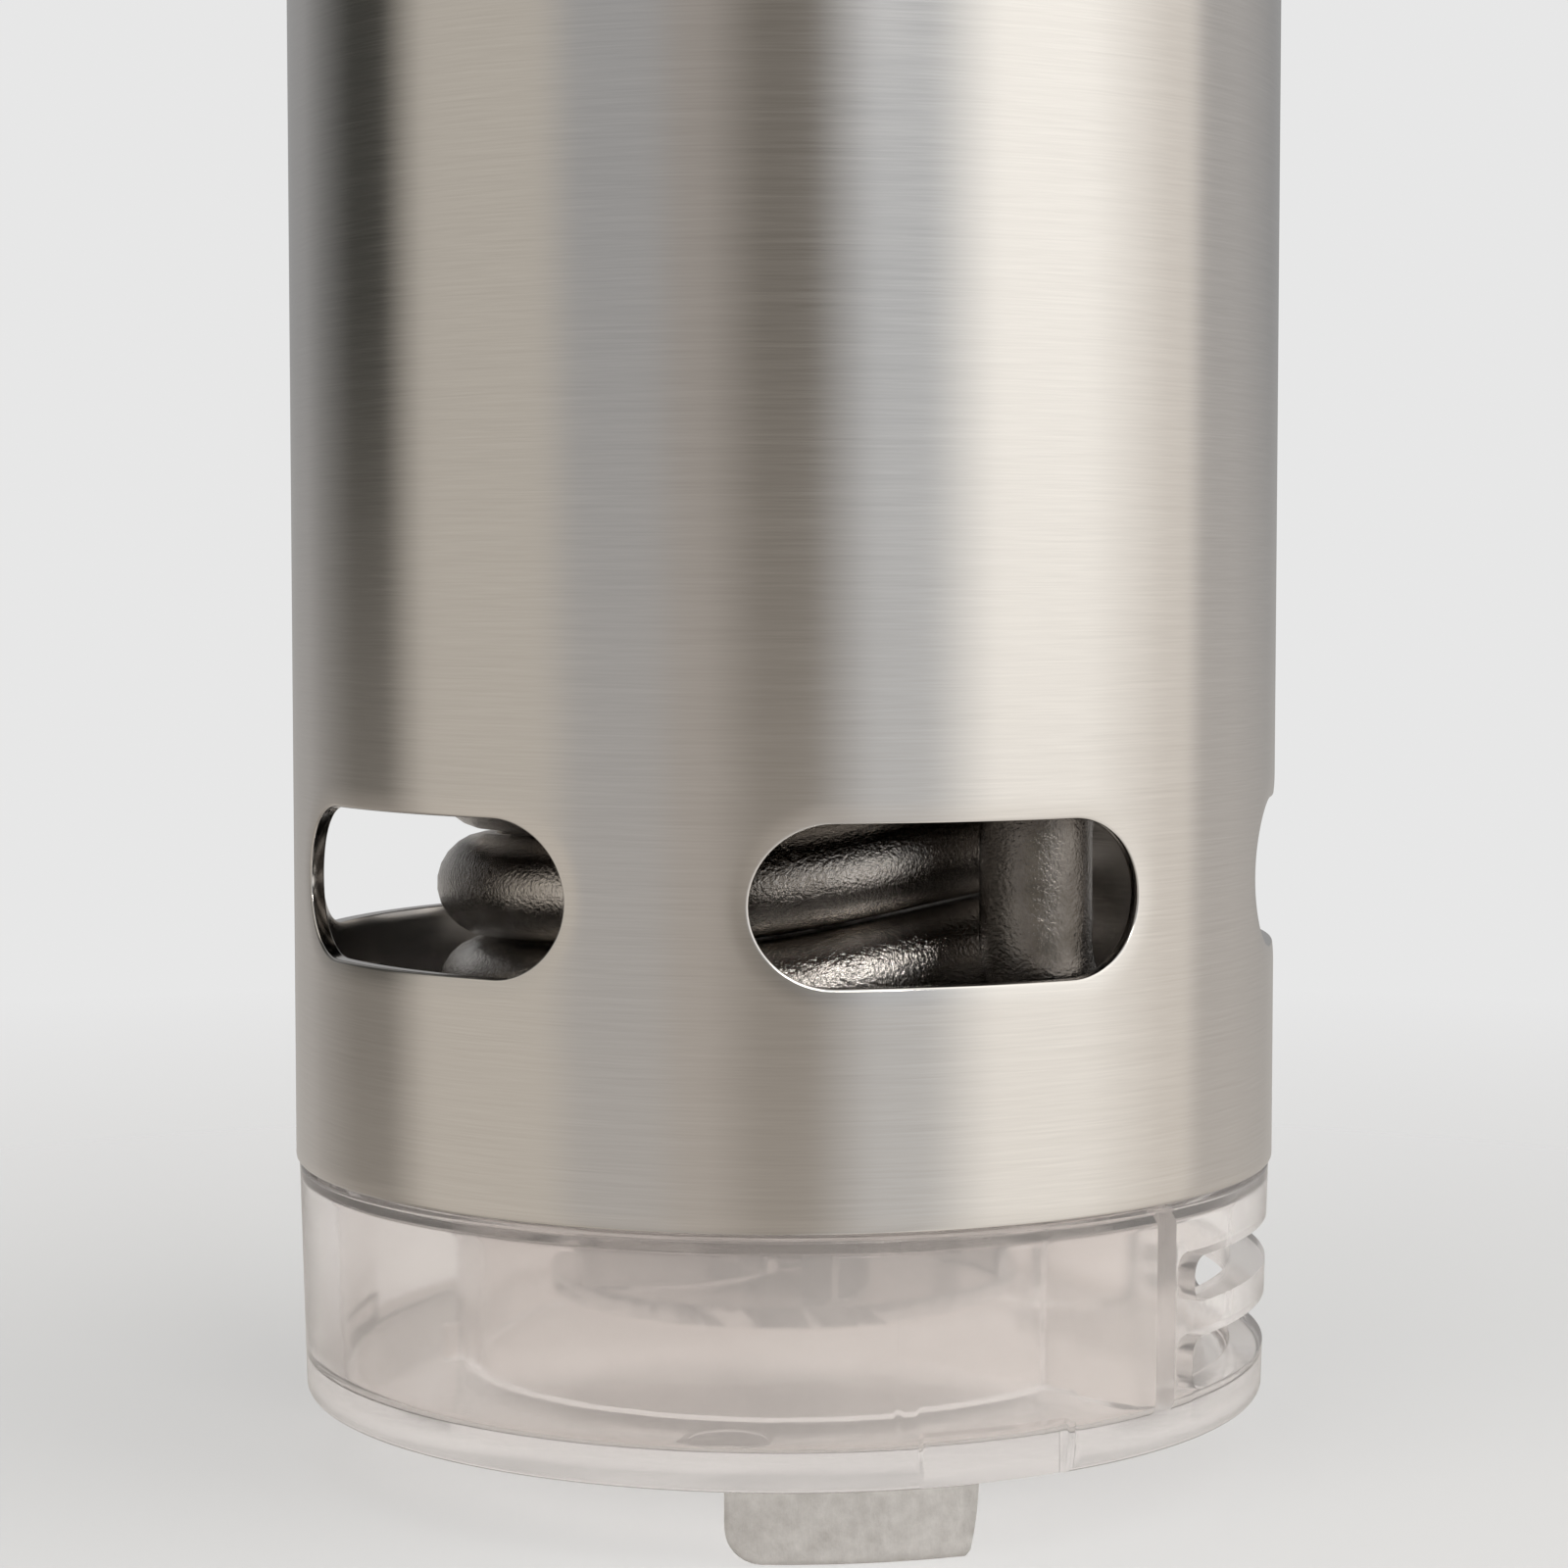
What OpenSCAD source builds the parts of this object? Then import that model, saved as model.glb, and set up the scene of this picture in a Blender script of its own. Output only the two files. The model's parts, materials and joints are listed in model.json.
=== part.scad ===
// Immersion circulator for sous vide cooking, with its pot clamp.
// Millimetres, +Z up. The origin is on the tube's axis, in the plane the feet stand on.
// The controls face -Y, the pump outlet faces +X and the clamp is on the +Y side.
// An azimuth is an angle about +Z, counted from -Y towards +X.

/* [Skirt tube] */
// Outer diameter of the stainless tube
tube_d = 60; // [59:0.25:61]
// Wall thickness of the tube
tube_wall = 1; // [0.8:0.1:1.2]
// Height of the seam between the pump cap and the tube
seam_z = 18; // [17.5:0.1:18.5]
// Height of the tube's upper end, inside the head
tube_top_z = 186; // [182:1:190]

/* [Water slots] */
// Azimuth of each slot's middle
slot_azimuths = [-45.7, 18.6, 89.4, 165.8, 242.3];
// Height of the slots' middle line
slot_z = 35.8; // [35:0.1:37]
// Height of one slot
slot_h = 8.8; // [8:0.1:9.5]
// Length of one slot, measured straight across its tips
slot_w = 22.6; // [20:0.1:24]

/* [Pump cap] */
// Thickness of the cap's floor
cap_floor = 1.8; // [1.5:0.1:2.2]
// Thickness of the cap's outer wall
cap_wall = 1.9; // [1.6:0.1:2.2]
// How far the cap's wall leans in from the seam to its lower rim
cap_draft = 0.35; // [0:0.05:0.5]
// Height of the spigot above the seam
spigot_h = 3.5; // [3:0.1:3.6]
// Outer radius of the volute's wall
volute_r = 20.3; // [19.8:0.1:20.6]
// Thickness of the volute's and the duct's walls
volute_wall = 1.5; // [1.2:0.1:1.8]
// Azimuth of the duct's first wall
duct_start = 48.3; // [46:0.1:50]
// Azimuth of the duct's second wall
duct_end = 117; // [110:0.5:120]

/* [Feet] */
// Height of each foot below the cap
foot_h = 4; // [3.5:0.1:4.5]
// Azimuth of the front foot's first edge
foot_start = -6.4; // [-8:0.1:-5]
// Width of a foot as an angle
foot_span = 27.9; // [24:0.1:28]

/* [Pump] */
// Radius of the impeller
impeller_r = 14.4; // [13:0.1:14.8]
// Number of vanes on the impeller
vane_count = 6; // [5:1:7]
// Radius of the pump's shaft
shaft_r = 1.5; // [1.4:0.05:1.6]

/* [Heater] */
// Diameter of the heater's steel sheath
sheath_d = 6.3; // [6:0.1:6.3]
// Radius of the coil's centreline
coil_r = 17.2; // [16.8:0.1:17.4]
// Rise of the coil in one full turn
coil_pitch = 6.5; // [6.5:0.01:6.6]
// Number of turns in the coil
coil_turns = 7.25; // [5.25:1:8.25]
// Azimuth of the return leg that stands outside the coil
riser_azimuth = 33.5; // [32:0.1:35]

/* [Head] */
// Outer radius of the head
head_r = 40; // [40:0.5:42]
// Wall thickness of the head's two shells
head_wall = 2.2; // [2:0.1:2.5]
// Height of the split between the head's two shells
split_z = 212; // [210:0.5:214]
// Height of the control face's front edge
face_z = 276; // [276:0.5:280]
// Slope of the control face
face_tilt = 28; // [26:1:30]

/* [Pot clamp] */
// Height of the clamp's ring, at its middle
ring_z = 160; // [158:1:161]
// Height of the clamp's screw
screw_z = 124; // [120:1:126]
// Widest gap between the clamp's two pads
jaw_gap = 14.5; // [12:0.5:15]
// How far the screw can close that gap
jaw_travel = 13.5; // [11:0.5:13.5]

/* [Hidden] */
$fn = 96;
cut = 1;             // how far a cutter runs past the face that it cuts
run_gap = 0.05;      // radial clearance of a running fit
press_gap = 0.01;    // radial clearance of a part fixed on a shaft
seam_gap = 0.3;      // height of the dark line at the seam
tube_r = tube_d / 2;
bore_r = tube_r - tube_wall;
slot_r = slot_h / 2;

cap_top_r = tube_r - 0.2;
cap_rim_r = cap_top_r - cap_draft;
cap_inner_r = cap_rim_r - cap_wall;
cap_top_z = seam_z - seam_gap / 2;
floor_z = foot_h + cap_floor;
spigot_r = bore_r - 0.1;
spigot_inner_r = 26.4;
spigot_z = seam_z + spigot_h;
seal_z = seam_z + 1.8;
seal_r = 0.85;
seal_centre_r = bore_r - run_gap - seal_r;
wall_top_z = seam_z + 0.7;
wall_root_z = foot_h + cap_floor / 2;  // the cap's inner walls start inside its floor
duct_wall_top_z = wall_top_z - 0.3;
duct_wall_r = 27.8;  // the duct's walls end inside the cap's outer wall
lug_azimuth = -77;
lug_size = [1.2, 1.4, 3];
window_start = 52;
window_end = 114;
window_low = [6.9, 10];
window_high = [12, 14.7];
recess_start = 14.3;
recess_end = 33;
recess_top_z = 7.3;
recess_depth = 0.8;

foot_outer_r = 29.2;
foot_inner_r = 26.7;
foot_count = 3;

impeller_z = 9.9;
impeller_disc = 1.2;
impeller_top_z = 16.4;
impeller_hub_r = 4.1;
impeller_hub_z = 8.6;
impeller_hub_top_z = 16.8;
vane_arc_r = 9.5;
vane_arc_offset = 9;
vane_thick = 1.1;
shaft_top_z = 184;
shaft_low_z = 8.9;
guard_r = 5.5;
guard_bore_r = 4.3;
guard_z = 17.2;
bush_h = 6;
plate_z = seam_z + 1;
plate_h = 1.2;
plate_r = 26.2;
plate_hub_wall = 1.5;
plate_hub_h = 4.2;
plate_spokes = 3;
eye_r = 11;
spoke_w = 2.4;
fixed_gap = 0.02;    // radial clearance of a part that is pressed in

sheath_r = sheath_d / 2;
coil_centre = [-1.1, 0.8];
coil_z = 26;         // height of the coil's first turn where it starts
coil_start = 116;    // azimuth where the lead-in has reached the coil's radius
joggle_start = -20;  // each turn steps up more steeply between these two azimuths
joggle_end = 50;
joggle_rise = 1.9;
riser_r = 25.4;
bend_r = 8;
bend_steps = 6;
lead_steps = 8;
lead_drop = 0.6;     // how far the bend's lowest point lies below the coil's start
turn_steps = 18;     // rings along one turn of the coil
sheath_sides = 8;
bulkhead_z = 150;
bulkhead_h = 4;
gasket_h = 1.5;
terminal_h = 14;
terminal_collar_h = 3;
terminal_pin_r = 1.2;

probe_r = 2;
probe_azimuth = 150;
probe_low_z = 45;
electrode_r = 1.5;
electrode_azimuths = [202, 218];
electrode_low_z = 72;
sensor_orbit_r = 25;
sensor_top_z = bulkhead_z + 8;
cutout_azimuth = -60;
cutout_orbit = 17;
cutout_r = 7;
cutout_h = 6;

mount_z = 200;
mount_h = 3;
motor_r = 17.5;
motor_wall = 1.5;
rotor_r = 13;
rotor_gap = 2;
motor_z = mount_z + mount_h;
motor_h = 35;
motor_shaft_r = 2.5;
motor_shaft_low_z = 186;
bearing_r = 6;
bearing_h = 3;
coupling_r = 6;
coupling_low_z = 178;
coupling_top_z = 194;
mount_screw_orbit = 12;
mount_screw_azimuths = [45, 165, 285];
mount_screw_r = 1.5;
mount_screw_head = [2.8, 1.8];
fan_z = 245;
fan_h = 8;
fan_r = 20;
fan_blades = 7;
fan_hub_r = 7;
blade_chord = 9;
blade_thick = 1.2;
blade_pitch = 35;

shell_r = head_r - head_wall;
collar_z = 174;
collar_r = 35;
collar_top_z = 184.5;
flare_low_z = 182;
flare_top_z = 198;
seal_ring_h = 0.6;
bezel_h = 3;
face_mid = head_r / cos(face_tilt);
lens_y = face_mid + 7;
lens_r = 22;
lens_h = 1.6;
window_size = [32, 22];
button_x = 13;
button_y = 17;
button_r = 5;
button_gap = 0.2;
button_proud = 0.8;
board_level = 8;
board_h = 1.6;
board_w = 48;
board_l = 56;
board_start = 14;
switch_w = 6;
switch_h = 1;
module_h = 3.4;
module_level = 5.4;
button_skirt = 1;
button_skirt_h = 1.2;
button_low = 4.4;
buzzer_place = [14, 60];
buzzer_r = 5;
buzzer_h = 6;

wheel_r = 11;
wheel_h = 14;
wheel_z = 256;
wheel_y = 7.8 - head_r;
axle_r = 2;
axle_reach = [3, 2]; // how far the axle stands out below and above the wheel
knurl_count = 30;
knurl_r = 0.7;
encoder_size = [10, 10, 5];
encoder_drop = 8;
wheel_slot_gap = 0.6;
wheel_slot_w = 2 * wheel_r - 0.4;

board_y = 26;
board_low_z = 222;
board_size = [48, 1.6, 64];
board_back_y = board_y + board_size[1];
transformer_size = [18, 16, 16];
transformer_place = [-20, 38];
capacitor_r = 6;
capacitor_h = 18;
capacitor_place = [10, 36];
relay_size = [18, 7, 12];
relay_place = [-8, 40];
sink_base = [28, 1.5, 12];
sink_place = [-14, 2];
fin_count = 7;
fin_step = 4.4;
fin_size = [1.2, 6.4, 12];
gland_z = 296;
gland_r = 6.5;
gland_bore_r = 3.75;
gland_neck_r = 4.95;
gland_reach = 6;
gland_inset = 4;
gland_nut_h = 3;
vent_count = 6;
vent_size = [26, 2.2];
vent_low_z = 222;
vent_step = 5;
screw_orbit = 34.8;
screw_azimuths = [30, 150, 270];
boss_r = 3.2;
boss_h = 6;
screw_r = 1.2;
screw_head = [2.6, 1.8];

sleeve_r = 31.6;
sleeve_flange_r = 33.5;
sleeve_h = 24;
ring_h = 20;
ring_r = 36;
clamp_fit = 0.08;
jaw_w = 18;
jaw_back_y = 37;
jaw_pad_y = jaw_back_y + 2;
leg_inner_y = jaw_pad_y + jaw_gap + 4;
leg_outer_y = leg_inner_y + 5.5;
jaw_low_z = 112;
jaw_front_y = 33.8;
jaw_pad_h = 20;
arm_h = 12;
arm_rise = 4;        // how far the arm's underside lies above the ring's
pad_r = 8;
pad_h = 3.5;
pad_socket = 1.9;
pad_y = jaw_pad_y + jaw_gap;
thread_r = 3;
insert_r = 5;
knob_y = leg_outer_y + jaw_travel + 1;
knob_h = 12;
knob_r = 11;
knob_lobes = 6;
lock_r = 2.5;
lock_knob_r = 8;
lock_knob_h = 11;
lock_reach = 20;     // how far the lock screw's end lies outside the ring
lock_boss_r = 6;
lock_boss_h = 8;
knob_scallop_r = 4;
knob_scallop_out = 2.2;

// Point at radius r and azimuth az
function polar(r, az) = [r * sin(az), -r * cos(az)];
// Ease from 0 to 1 as t goes from 0 to 1
function ease(t) = let (u = max(0, min(1, t))) u * u * (3 - 2 * u);
// Height of the coil at azimuth az, which counts on past 360 with each turn
function coil_rise(az) =
    (coil_pitch - joggle_rise) * az / 360
    + joggle_rise * (floor((az - joggle_start) / 360)
    + ease(((az - joggle_start) % 360) / (joggle_end - joggle_start)));
function coil_height(az) = coil_z + coil_rise(az) - coil_rise(coil_start);
function coil_point(az) = concat(coil_centre + polar(coil_r, az), coil_height(az));
// Foot of the return leg: down, round a bend and in to the coil
function bend_point(a) =
    let (az = riser_azimuth + bend_r * (1 - cos(a)) / riser_r * 180 / PI)
    concat(polar(riser_r, az), coil_z - lead_drop + bend_r * (1 - sin(a)));
function lead_azimuth(t) =
    let (first = riser_azimuth + bend_r / riser_r * 180 / PI) first + (coil_start - first) * t;
function lead_point(t) =
    let (az = lead_azimuth(t), w = ease(t), inner = coil_point(az), outer = polar(riser_r, az))
    [
        outer[0] * (1 - w) + inner[0] * w,
        outer[1] * (1 - w) + inner[1] * w,
        coil_z - lead_drop * (1 - w)
    ];
coil_end = coil_start + 360 * coil_turns;
end_direction = [cos(coil_end), sin(coil_end)];
function exit_point(a) =
    let (p = coil_point(coil_end))
    [
        p[0] + end_direction[0] * bend_r * sin(a),
        p[1] + end_direction[1] * bend_r * sin(a),
        p[2] + bend_r * (1 - cos(a))
    ];
leg_end = exit_point(90);
leg_top_z = bulkhead_z + bulkhead_h + 2;
heater_path = concat(
    [concat(polar(riser_r, riser_azimuth), leg_top_z)],
    [for (i = [0 : bend_steps]) bend_point(90 * i / bend_steps)],
    [for (i = [1 : lead_steps - 1]) lead_point(i / lead_steps)],
    [for (i = [0 : turn_steps * coil_turns]) coil_point(coil_start + 360 * i / turn_steps)],
    [for (i = [1 : bend_steps]) exit_point(90 * i / bend_steps)],
    [[leg_end[0], leg_end[1], leg_top_z]]
);

function unit(v) = v / norm(v);
function path_tangent(path, i) =
    unit(path[min(i + 1, len(path) - 1)] - path[max(i - 1, 0)]);
// Each ring's side vector is the last one's, turned as little as the path allows
function side_vectors(path, i = 0, last = [1, 0, 0]) =
    i == len(path) ? [] :
    let (t = path_tangent(path, i), s = unit(last - t * (last * t)))
    concat([s], side_vectors(path, i + 1, s));

// A round bar swept along a path of points
module swept_bar(path, radius, sides) {
    count = len(path);
    side = side_vectors(path);
    points = [
        for (i = [0 : count - 1])
            let (u = side[i], v = cross(path_tangent(path, i), u))
            for (k = [0 : sides - 1])
                let (a = 360 * k / sides)
                path[i] + radius * (cos(a) * u + sin(a) * v)
    ];
    walls = [
        for (i = [0 : count - 2])
            for (k = [0 : sides - 1])
                let (a = i * sides + k, b = i * sides + (k + 1) % sides)
                [a, a + sides, b + sides, b]
    ];
    first = [for (k = [0 : sides - 1]) k];
    last = [for (k = [sides - 1 : -1 : 0]) (count - 1) * sides + k];
    polyhedron(points, concat([first], walls, [last]), convexity = 10);
}

// Places children, which are built towards -Y, at azimuth az
module at_azimuth(az) {
    rotate([0, 0, az]) children();
}

// Part of a ring between two radii, two heights and two azimuths
module ring_sector(r0, r1, z0, z1, az0, az1) {
    at_azimuth(az0 - 90)
        rotate_extrude(angle = az1 - az0)
            translate([r0, z0]) square([r1 - r0, z1 - z0]);
}

// A full ring between two radii and two heights
module ring(r0, r1, z0, z1) {
    translate([0, 0, z0]) difference() {
        cylinder(r = r1, h = z1 - z0);
        translate([0, 0, -cut]) cylinder(r = r0, h = z1 - z0 + 2 * cut);
    }
}

// Moves children onto the sloping control face: local Y runs up the slope, local Z is outward
module on_face() {
    translate([0, -head_r, face_z]) rotate([face_tilt, 0, 0]) children();
}

// The space between two depths below the control face
module face_layer(low, high) {
    on_face()
        translate([-2 * head_r, -2 * head_r, low])
            cube([4 * head_r, 6 * head_r, high - low]);
}

// ---- Pump cap and feet ----

module cap_body() {
    translate([0, 0, foot_h])
        cylinder(r1 = cap_rim_r, r2 = cap_top_r, h = cap_top_z - foot_h);
}

module cap_spigot() {
    difference() {
        ring(spigot_inner_r, spigot_r, cap_top_z - cap_wall, spigot_z);
        ring(seal_centre_r - seal_r - run_gap, spigot_r + cut, seal_z - 1, seal_z + 1);
    }
}

module volute() {
    ring_sector(
        volute_r - volute_wall, volute_r, wall_root_z, wall_top_z,
        duct_end, 360 + duct_start
    );
    for (az = [duct_start, duct_end]) {
        at_azimuth(az)
            translate([-volute_wall / 2, -duct_wall_r, wall_root_z])
                cube([volute_wall, duct_wall_r + 1 - volute_r, duct_wall_top_z - wall_root_z]);
    }
}

module cap_lug() {
    at_azimuth(lug_azimuth)
        translate([-lug_size[0] / 2, -volute_r - lug_size[1] + 0.2, wall_root_z])
            cube(lug_size);
}

module pump_cap() {
    color([0.86, 0.83, 0.83, 0.5]) difference() {
        union() {
            difference() {
                cap_body();
                translate([0, 0, floor_z]) cylinder(r = cap_inner_r, h = cap_top_z);
            }
            cap_spigot();
            volute();
            cap_lug();
        }
        for (window = [window_low, window_high]) {
            ring_sector(
                spigot_inner_r - 2, tube_r + cut, window[0], window[1],
                window_start, window_end
            );
        }
        for (i = [0 : foot_count - 1]) {
            ring_sector(
                cap_rim_r - recess_depth, tube_r + cut, foot_h - cut, recess_top_z,
                recess_start + 360 / foot_count * i, recess_end + 360 / foot_count * i
            );
        }
    }
}

module foot(index) {
    turn = 360 / foot_count * index;
    color([0.8, 0.8, 0.79, 0.8])
        ring_sector(
            foot_inner_r, foot_outer_r, 0, foot_h,
            foot_start + turn, foot_start + foot_span + turn
        );
}

module foot_front() {
    foot(0);
}

module foot_rear_right() {
    foot(1);
}

module foot_rear_left() {
    foot(2);
}

module cap_seal() {
    color([0.12, 0.12, 0.12])
        translate([0, 0, seal_z])
            rotate_extrude() translate([seal_centre_r, 0]) circle(r = seal_r);
}

// ---- Pump ----

module vane() {
    low = impeller_z + impeller_disc / 2;
    intersection() {
        ring(impeller_hub_r - 0.4, impeller_r - 0.2, low, impeller_top_z);
        translate([vane_arc_offset, 0, 0])
            ring(vane_arc_r - vane_thick, vane_arc_r, low - cut, impeller_top_z + cut);
        translate([-impeller_r, 0, low - cut])
            cube([2 * impeller_r, impeller_r, impeller_top_z]);
    }
}

module impeller() {
    color([0.85, 0.85, 0.84, 0.7]) difference() {
        union() {
            translate([0, 0, impeller_z]) cylinder(r = impeller_r, h = impeller_disc);
            translate([0, 0, impeller_hub_z])
                cylinder(r = impeller_hub_r, h = impeller_hub_top_z - impeller_hub_z);
            for (i = [0 : vane_count - 1]) {
                rotate([0, 0, 360 / vane_count * i]) vane();
            }
        }
        translate([0, 0, impeller_hub_z - cut])
            cylinder(r = shaft_r + press_gap, h = impeller_top_z);
    }
}

module pump_shaft() {
    color([0.75, 0.75, 0.76])
        translate([0, 0, shaft_low_z]) cylinder(r = shaft_r, h = shaft_top_z - shaft_low_z);
}

module shaft_bush() {
    color([0.2, 0.2, 0.22])
        ring(shaft_r + run_gap, guard_bore_r - fixed_gap, guard_z, guard_z + bush_h);
}

module shaft_guard() {
    color([0.7, 0.7, 0.71])
        ring(guard_bore_r, guard_r, guard_z, bulkhead_z - gasket_h);
}

module pump_plate() {
    color([0.72, 0.72, 0.73]) {
        ring(eye_r, plate_r, plate_z, plate_z + plate_h);
        difference() {
            union() {
                ring(
                    guard_r + fixed_gap, guard_r + plate_hub_wall,
                    plate_z, plate_z + plate_hub_h
                );
                for (i = [0 : plate_spokes - 1]) {
                    at_azimuth(360 / plate_spokes * i)
                        translate([-spoke_w / 2, -eye_r - 0.5, plate_z])
                            cube([spoke_w, eye_r - guard_r, plate_h]);
                }
            }
            translate([0, 0, plate_z - cut])
                cylinder(r = guard_r + fixed_gap, h = plate_hub_h + 2 * cut);
        }
    }
}

// ---- Skirt tube and what hangs in it ----

module slot_profile() {
    square([slot_w - slot_h, slot_h], center = true);
    for (side = [-1, 1]) {
        translate([side * (slot_w - slot_h) / 2, 0]) circle(r = slot_r);
    }
}

module skirt_tube() {
    color([0.78, 0.76, 0.74]) difference() {
        ring(bore_r, tube_r, seam_z + seam_gap / 2, tube_top_z);
        for (az = slot_azimuths) {
            at_azimuth(az)
                translate([0, -tube_r / 2, slot_z])
                    rotate([90, 0, 0])
                        linear_extrude(tube_r) slot_profile();
        }
    }
}

module heater_element() {
    color([0.25, 0.23, 0.21]) swept_bar(heater_path, sheath_r, sheath_sides);
}

// The two places where the heater passes the bulkhead
module at_heater_legs() {
    for (p = [polar(riser_r, riser_azimuth), [leg_end[0], leg_end[1]]]) {
        translate([p[0], p[1], 0]) children();
    }
}

module heater_terminals() {
    color([0.85, 0.83, 0.78])
        at_heater_legs() {
            translate([0, 0, leg_top_z]) cylinder(r = sheath_r - 0.2, h = terminal_collar_h);
            translate([0, 0, leg_top_z + terminal_collar_h])
                cylinder(r = terminal_pin_r, h = terminal_h - terminal_collar_h);
        }
}

module at_electrodes() {
    for (az = electrode_azimuths) {
        at_azimuth(az) translate([0, -sensor_orbit_r, 0]) children();
    }
}

module plate_with_holes(r, z, h) {
    translate([0, 0, z]) difference() {
        cylinder(r = r, h = h);
        translate([0, 0, -cut]) {
            cylinder(r = guard_bore_r, h = h + 2 * cut);
            at_heater_legs() cylinder(r = sheath_r + 0.1, h = h + 2 * cut);
            at_azimuth(probe_azimuth)
                translate([0, -sensor_orbit_r, 0])
                    cylinder(r = probe_r + 0.05, h = h + 2 * cut);
            at_electrodes() cylinder(r = electrode_r + 0.05, h = h + 2 * cut);
        }
    }
}

module bulkhead() {
    color([0.6, 0.6, 0.62])
        plate_with_holes(bore_r - run_gap, bulkhead_z, bulkhead_h);
}

module bulkhead_gasket() {
    color([0.75, 0.25, 0.2])
        plate_with_holes(bore_r - run_gap, bulkhead_z - gasket_h, gasket_h);
}

module shaft_seal() {
    color([0.15, 0.15, 0.15])
        ring(shaft_r + run_gap, guard_bore_r - fixed_gap, bulkhead_z, bulkhead_z + bulkhead_h);
}

module temperature_probe() {
    color([0.8, 0.8, 0.81])
        at_azimuth(probe_azimuth)
            translate([0, -sensor_orbit_r, probe_low_z + probe_r]) {
                cylinder(r = probe_r, h = sensor_top_z - probe_low_z - probe_r);
                sphere(r = probe_r);
            }
}

module level_sensor() {
    color([0.8, 0.8, 0.81])
        at_electrodes()
            translate([0, 0, electrode_low_z])
                cylinder(r = electrode_r, h = sensor_top_z - electrode_low_z);
}

module thermal_cutout() {
    color([0.15, 0.15, 0.16])
        at_azimuth(cutout_azimuth)
            translate([0, -cutout_orbit, bulkhead_z + bulkhead_h])
                cylinder(r = cutout_r, h = cutout_h);
}

// ---- Motor ----

module shaft_coupling() {
    color([0.72, 0.58, 0.3]) difference() {
        translate([0, 0, coupling_low_z])
            cylinder(r = coupling_r, h = coupling_top_z - coupling_low_z);
        translate([0, 0, coupling_low_z - cut]) cylinder(r = shaft_r + press_gap, h = 20);
        translate([0, 0, motor_shaft_low_z])
            cylinder(r = motor_shaft_r + press_gap, h = 20);
    }
}

module motor_can() {
    color([0.55, 0.55, 0.57]) {
        ring(motor_r - motor_wall, motor_r, motor_z, motor_z + motor_h);
        for (z = [motor_z, motor_z + motor_h - bearing_h]) {
            ring(bearing_r, motor_r - motor_wall / 2, z, z + bearing_h);
        }
    }
}

module motor_bearings() {
    color([0.7, 0.7, 0.7])
        for (z = [motor_z, motor_z + motor_h - bearing_h]) {
            ring(motor_shaft_r + run_gap, bearing_r, z, z + bearing_h);
        }
}

module motor_rotor() {
    color([0.45, 0.4, 0.38]) {
        translate([0, 0, motor_z + bearing_h + rotor_gap])
            cylinder(r = rotor_r, h = motor_h - 2 * (bearing_h + rotor_gap));
        translate([0, 0, motor_shaft_low_z])
            cylinder(r = motor_shaft_r, h = fan_z + fan_h - motor_shaft_low_z);
    }
}

module at_motor_screws() {
    for (az = mount_screw_azimuths) {
        at_azimuth(az) translate([0, -mount_screw_orbit, 0]) children();
    }
}

module motor_mount() {
    color([0.5, 0.5, 0.52])
        translate([0, 0, mount_z]) difference() {
            cylinder(r = shell_r - 0.1, h = mount_h);
            translate([0, 0, -cut]) {
                cylinder(r = bearing_r + 0.5, h = mount_h + 2 * cut);
                at_motor_screws() cylinder(r = mount_screw_r + 0.1, h = mount_h + 2 * cut);
            }
        }
}

module motor_screws() {
    color([0.6, 0.6, 0.62])
        at_motor_screws() {
            translate([0, 0, mount_z]) cylinder(r = mount_screw_r, h = mount_h);
            translate([0, 0, mount_z - mount_screw_head[1]])
                cylinder(r = mount_screw_head[0], h = mount_screw_head[1]);
        }
}

module cooling_fan() {
    color([0.12, 0.12, 0.13]) difference() {
        union() {
            translate([0, 0, fan_z]) cylinder(r = fan_hub_r, h = fan_h);
            for (i = [0 : fan_blades - 1]) {
                rotate([0, 0, 360 / fan_blades * i])
                    translate([fan_hub_r - 1, 0, fan_z + fan_h / 2])
                        rotate([blade_pitch, 0, 0])
                            translate([0, -blade_chord / 2, -blade_thick / 2])
                                cube([fan_r - fan_hub_r + 0.5, blade_chord, blade_thick]);
            }
        }
        translate([0, 0, fan_z - cut])
            cylinder(r = motor_shaft_r + press_gap, h = 2 * fan_h);
    }
}

// ---- Head ----

module at_housing_screws() {
    for (az = screw_azimuths) {
        at_azimuth(az) translate([0, -screw_orbit, 0]) children();
    }
}

module lower_housing() {
    color([0.13, 0.13, 0.14]) {
        rotate_extrude() polygon([
            [tube_r + run_gap, collar_z], [collar_r - 1.5, collar_z], [collar_r, collar_z + 1.5],
            [collar_r, flare_low_z], [head_r, flare_top_z], [head_r, split_z],
            [shell_r, split_z], [shell_r, flare_top_z + 1],
            [collar_r - 1, collar_top_z + 2], [collar_r - 3, collar_top_z],
            [tube_r + run_gap, collar_top_z]
        ]);
        difference() {
            at_housing_screws()
                translate([0, 0, mount_z + mount_h])
                    cylinder(r = boss_r, h = split_z - mount_z - mount_h);
            at_housing_screws() translate([0, 0, mount_z]) cylinder(r = screw_r + 0.05, h = 20);
        }
    }
}

module housing_seal() {
    color([0.2, 0.2, 0.2])
        ring(shell_r + 0.4, head_r - 0.5, split_z, split_z + seal_ring_h);
}

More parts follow.
